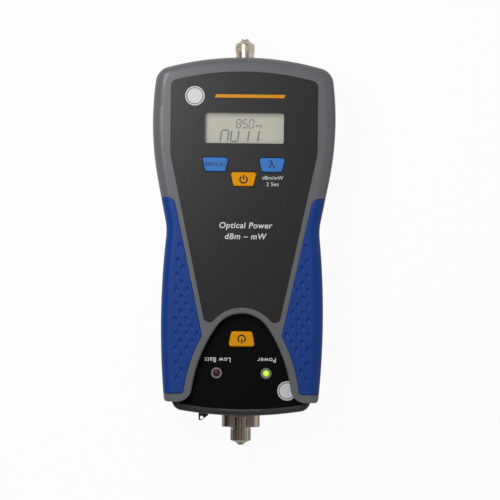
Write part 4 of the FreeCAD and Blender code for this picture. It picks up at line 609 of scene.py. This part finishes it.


# One nickel plating in two copies: the meter port's is painted lighter as a painted reflection, and the
# source port's is painted darker as painted shade.
nickel_painted_light = turned_metal("nickel_plated_brass_painted_light", "dccfbd", 0.35, 0.08)
nickel = turned_metal("nickel_plated_brass", "a89c8e", 0.22, 0.07)
zinc = turned_metal("zinc_plated_steel", "a9abae", 0.35, 0.08)
dress(nickel_painted_light, "meter_port", "meter_port_cap")
dress(nickel, "source_port_flange", "source_port_barrel", "source_port_cap")
dress(zinc, "case_screws", "source_screws", "photodiode", "source_emitter", "source_port_nut",
      "key_switches", "battery_contacts", "source_battery_contacts")
cap_low, cap_high = (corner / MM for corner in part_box("meter_port_cap"))
port_z = (cap_low.z + cap_high.z) / 2
grip_low_y = cap_low.y + CAP_SKIRT
points, quads = knurled_band(grip_low_y + KNURL_LOW, grip_low_y + CAP_GRIP - KNURL_HIGH, CAP_RADIUS, port_z)
knurl = mesh_piece("meter_cap_knurl", points, quads.tolist(), nickel_painted_light)
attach(knurl, "meter_cap")
crown = [(cap_high.y + y, radius) for y, radius in CROWN_PROFILE]
turned_ring("meter_cap_crown", crown, port_z, nickel_painted_light, "meter_cap")


# ---------------------------------------------------------------- light-source module
# Charcoal ABS case with a smooth black face plate. It slides out of the dock towards -Y. Its
# own cap ends in a rounded nipple, pressed into the slotted end.
TIP_PROFILE = [(0.0, 0.05), (0.03, 0.6), (0.2, 1.05), (0.5, 1.3), (1.0, 1.45), (1.7, 1.5),
               (1.7, 0.05)]                # in from the cap's end, radius
cap_low, cap_high = (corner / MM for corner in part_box("source_port_cap"))
tip = [(cap_low.y + y, radius) for y, radius in TIP_PROFILE]
turned_ring("source_cap_tip", tip, (cap_low.z + cap_high.z) / 2, nickel, "source_cap")
case_abs = moulded("moulded_abs_graphite", "34363a", 0.45, 0.45, 0.012)
plate = moulded("smooth_polycarbonate_black", "0a0a0b", 0.42, 0.5, 0.004, mottle=0.1, specular=0.07)
dress(case_abs, "source_front_cover", "source_rear_cover", "source_battery_door")
dress(plate, "source_face_panel")
plate_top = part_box("source_face_panel")[1].z / MM
power_place, battery_place = (11.6, -53.6, plate_top), (-10.8, -53.7, plate_top)
lettering("power_legend", "Power", 2.1, power_place, white_ink, "source", turn=180, weight=0.03)
lettering("low_battery_legend", "Low Batt", 2.08, battery_place, white_ink, "source", turn=180, weight=0.03)
bare_badge("source_badge", 20.9, -67.6, plate_top + INK_THICKNESS / 2, "source")


# Raised seam along the rim's end: half an ellipse across, bent to the crowned end's radius. Its ABS is
# painted lighter than the case's, as a painted highlight along the bead.
SEAM_ENDS = (-10.5, 10.2)
SEAM_Y = -76.7
SEAM_BOW = 170.0              # the crowned end's radius
SEAM_HALF = 0.42
SEAM_RISE = 0.16
SEAM_SINK = 0.02              # edges below the case's top
rows, columns = 60, 9
x = np.linspace(*SEAM_ENDS, rows)[:, None]
across = np.linspace(-1, 1, columns)[None, :]
seam_y = SEAM_Y + SEAM_BOW - np.sqrt(SEAM_BOW ** 2 - x ** 2) + SEAM_HALF * across
seam_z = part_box("source_front_cover")[1].z / MM - SEAM_SINK + SEAM_RISE * np.sqrt(1.0 - across ** 2)
points = np.stack([x + 0 * across, seam_y, seam_z + 0 * x], -1).reshape(-1, 3)
# Same ABS as the case, painted lighter: a painted highlight on the raised bead.
seam_abs_painted_highlight = moulded("moulded_abs_seam_painted_highlight", "4b4d51", 0.35, 0.45, 0.006)
quads = grid_faces(rows, columns)[:, ::-1].tolist()
seam = mesh_piece("source_rim_seam", points, quads, seam_abs_painted_highlight)
thick = seam.modifiers.new("bead", "SOLIDIFY")
thick.thickness = SEAM_RISE * MM
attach(seam, "source")


# ---------------------------------------------------------------- indicator lamps
# Three-millimetre lamps in grey bezels: tinted epoxy domes, the green one lit, brightest in
# its middle and falling off outwards from the top of its dome.
GLOW_CORE = 0.7
GLOW_EDGE = 2.0
red_epoxy = moulded("tinted_epoxy_red", "4a1c24", 0.12, 0.5, 0.001, mottle=0.1)
green_epoxy = moulded("tinted_epoxy_green_lit", "7ddc1e", 0.15, 0.5, 0.001, mottle=0.05)
tree = green_epoxy.node_tree
glow = tree.nodes["Principled BSDF"]
lamp_low, lamp_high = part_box("led_green")
lamp_top = ((lamp_low.x + lamp_high.x) / 2, (lamp_low.y + lamp_high.y) / 2, lamp_high.z)
place = add(tree, "ShaderNodeTexCoord")
reach = add(tree, "ShaderNodeVectorMath", {0: place.outputs["Object"], 1: lamp_top}, operation="DISTANCE")
edge = add(tree, "ShaderNodeMapRange", {"Value": reach.outputs["Value"], "From Min": GLOW_CORE * MM,
                                        "From Max": GLOW_EDGE * MM})
bright, dim = linear("e6f85a"), linear("4f9a08")
halo = add(tree, "ShaderNodeMix", {0: edge.outputs[0], 6: bright, 7: dim}, data_type="RGBA")
tree.links.new(halo.outputs[2], glow.inputs["Emission Color"])
glow.inputs["Emission Strength"].default_value = 0.85
dress(red_epoxy, "led_red")
dress(green_epoxy, "led_green")
dress(moulded("moulded_grey_bezel", "7a7577", 0.4, 0.5, 0.004), "led_rings")


# ---------------------------------------------------------------- inside
# Glass-epoxy boards with copper under green mask, moulded chips, ground zirconia sleeves and
# nine-volt batteries in a plain jacket.
dress(moulded("solder_mask_green", "1e5a34", 0.35, 1.2, 0.02, mottle=0.25), "main_board", "source_board")
dress(moulded("moulded_chip_epoxy", "1c1c1e", 0.6, 0.4, 0.01), "board_components", "source_switch")
dress(moulded("ground_zirconia", "e6e4dc", 0.3, 0.3, 0.002), "alignment_sleeve", "source_sleeve")
dress(moulded("battery_jacket_graphite", "2e2f33", 0.3, 0.6, 0.006), "battery", "source_battery")
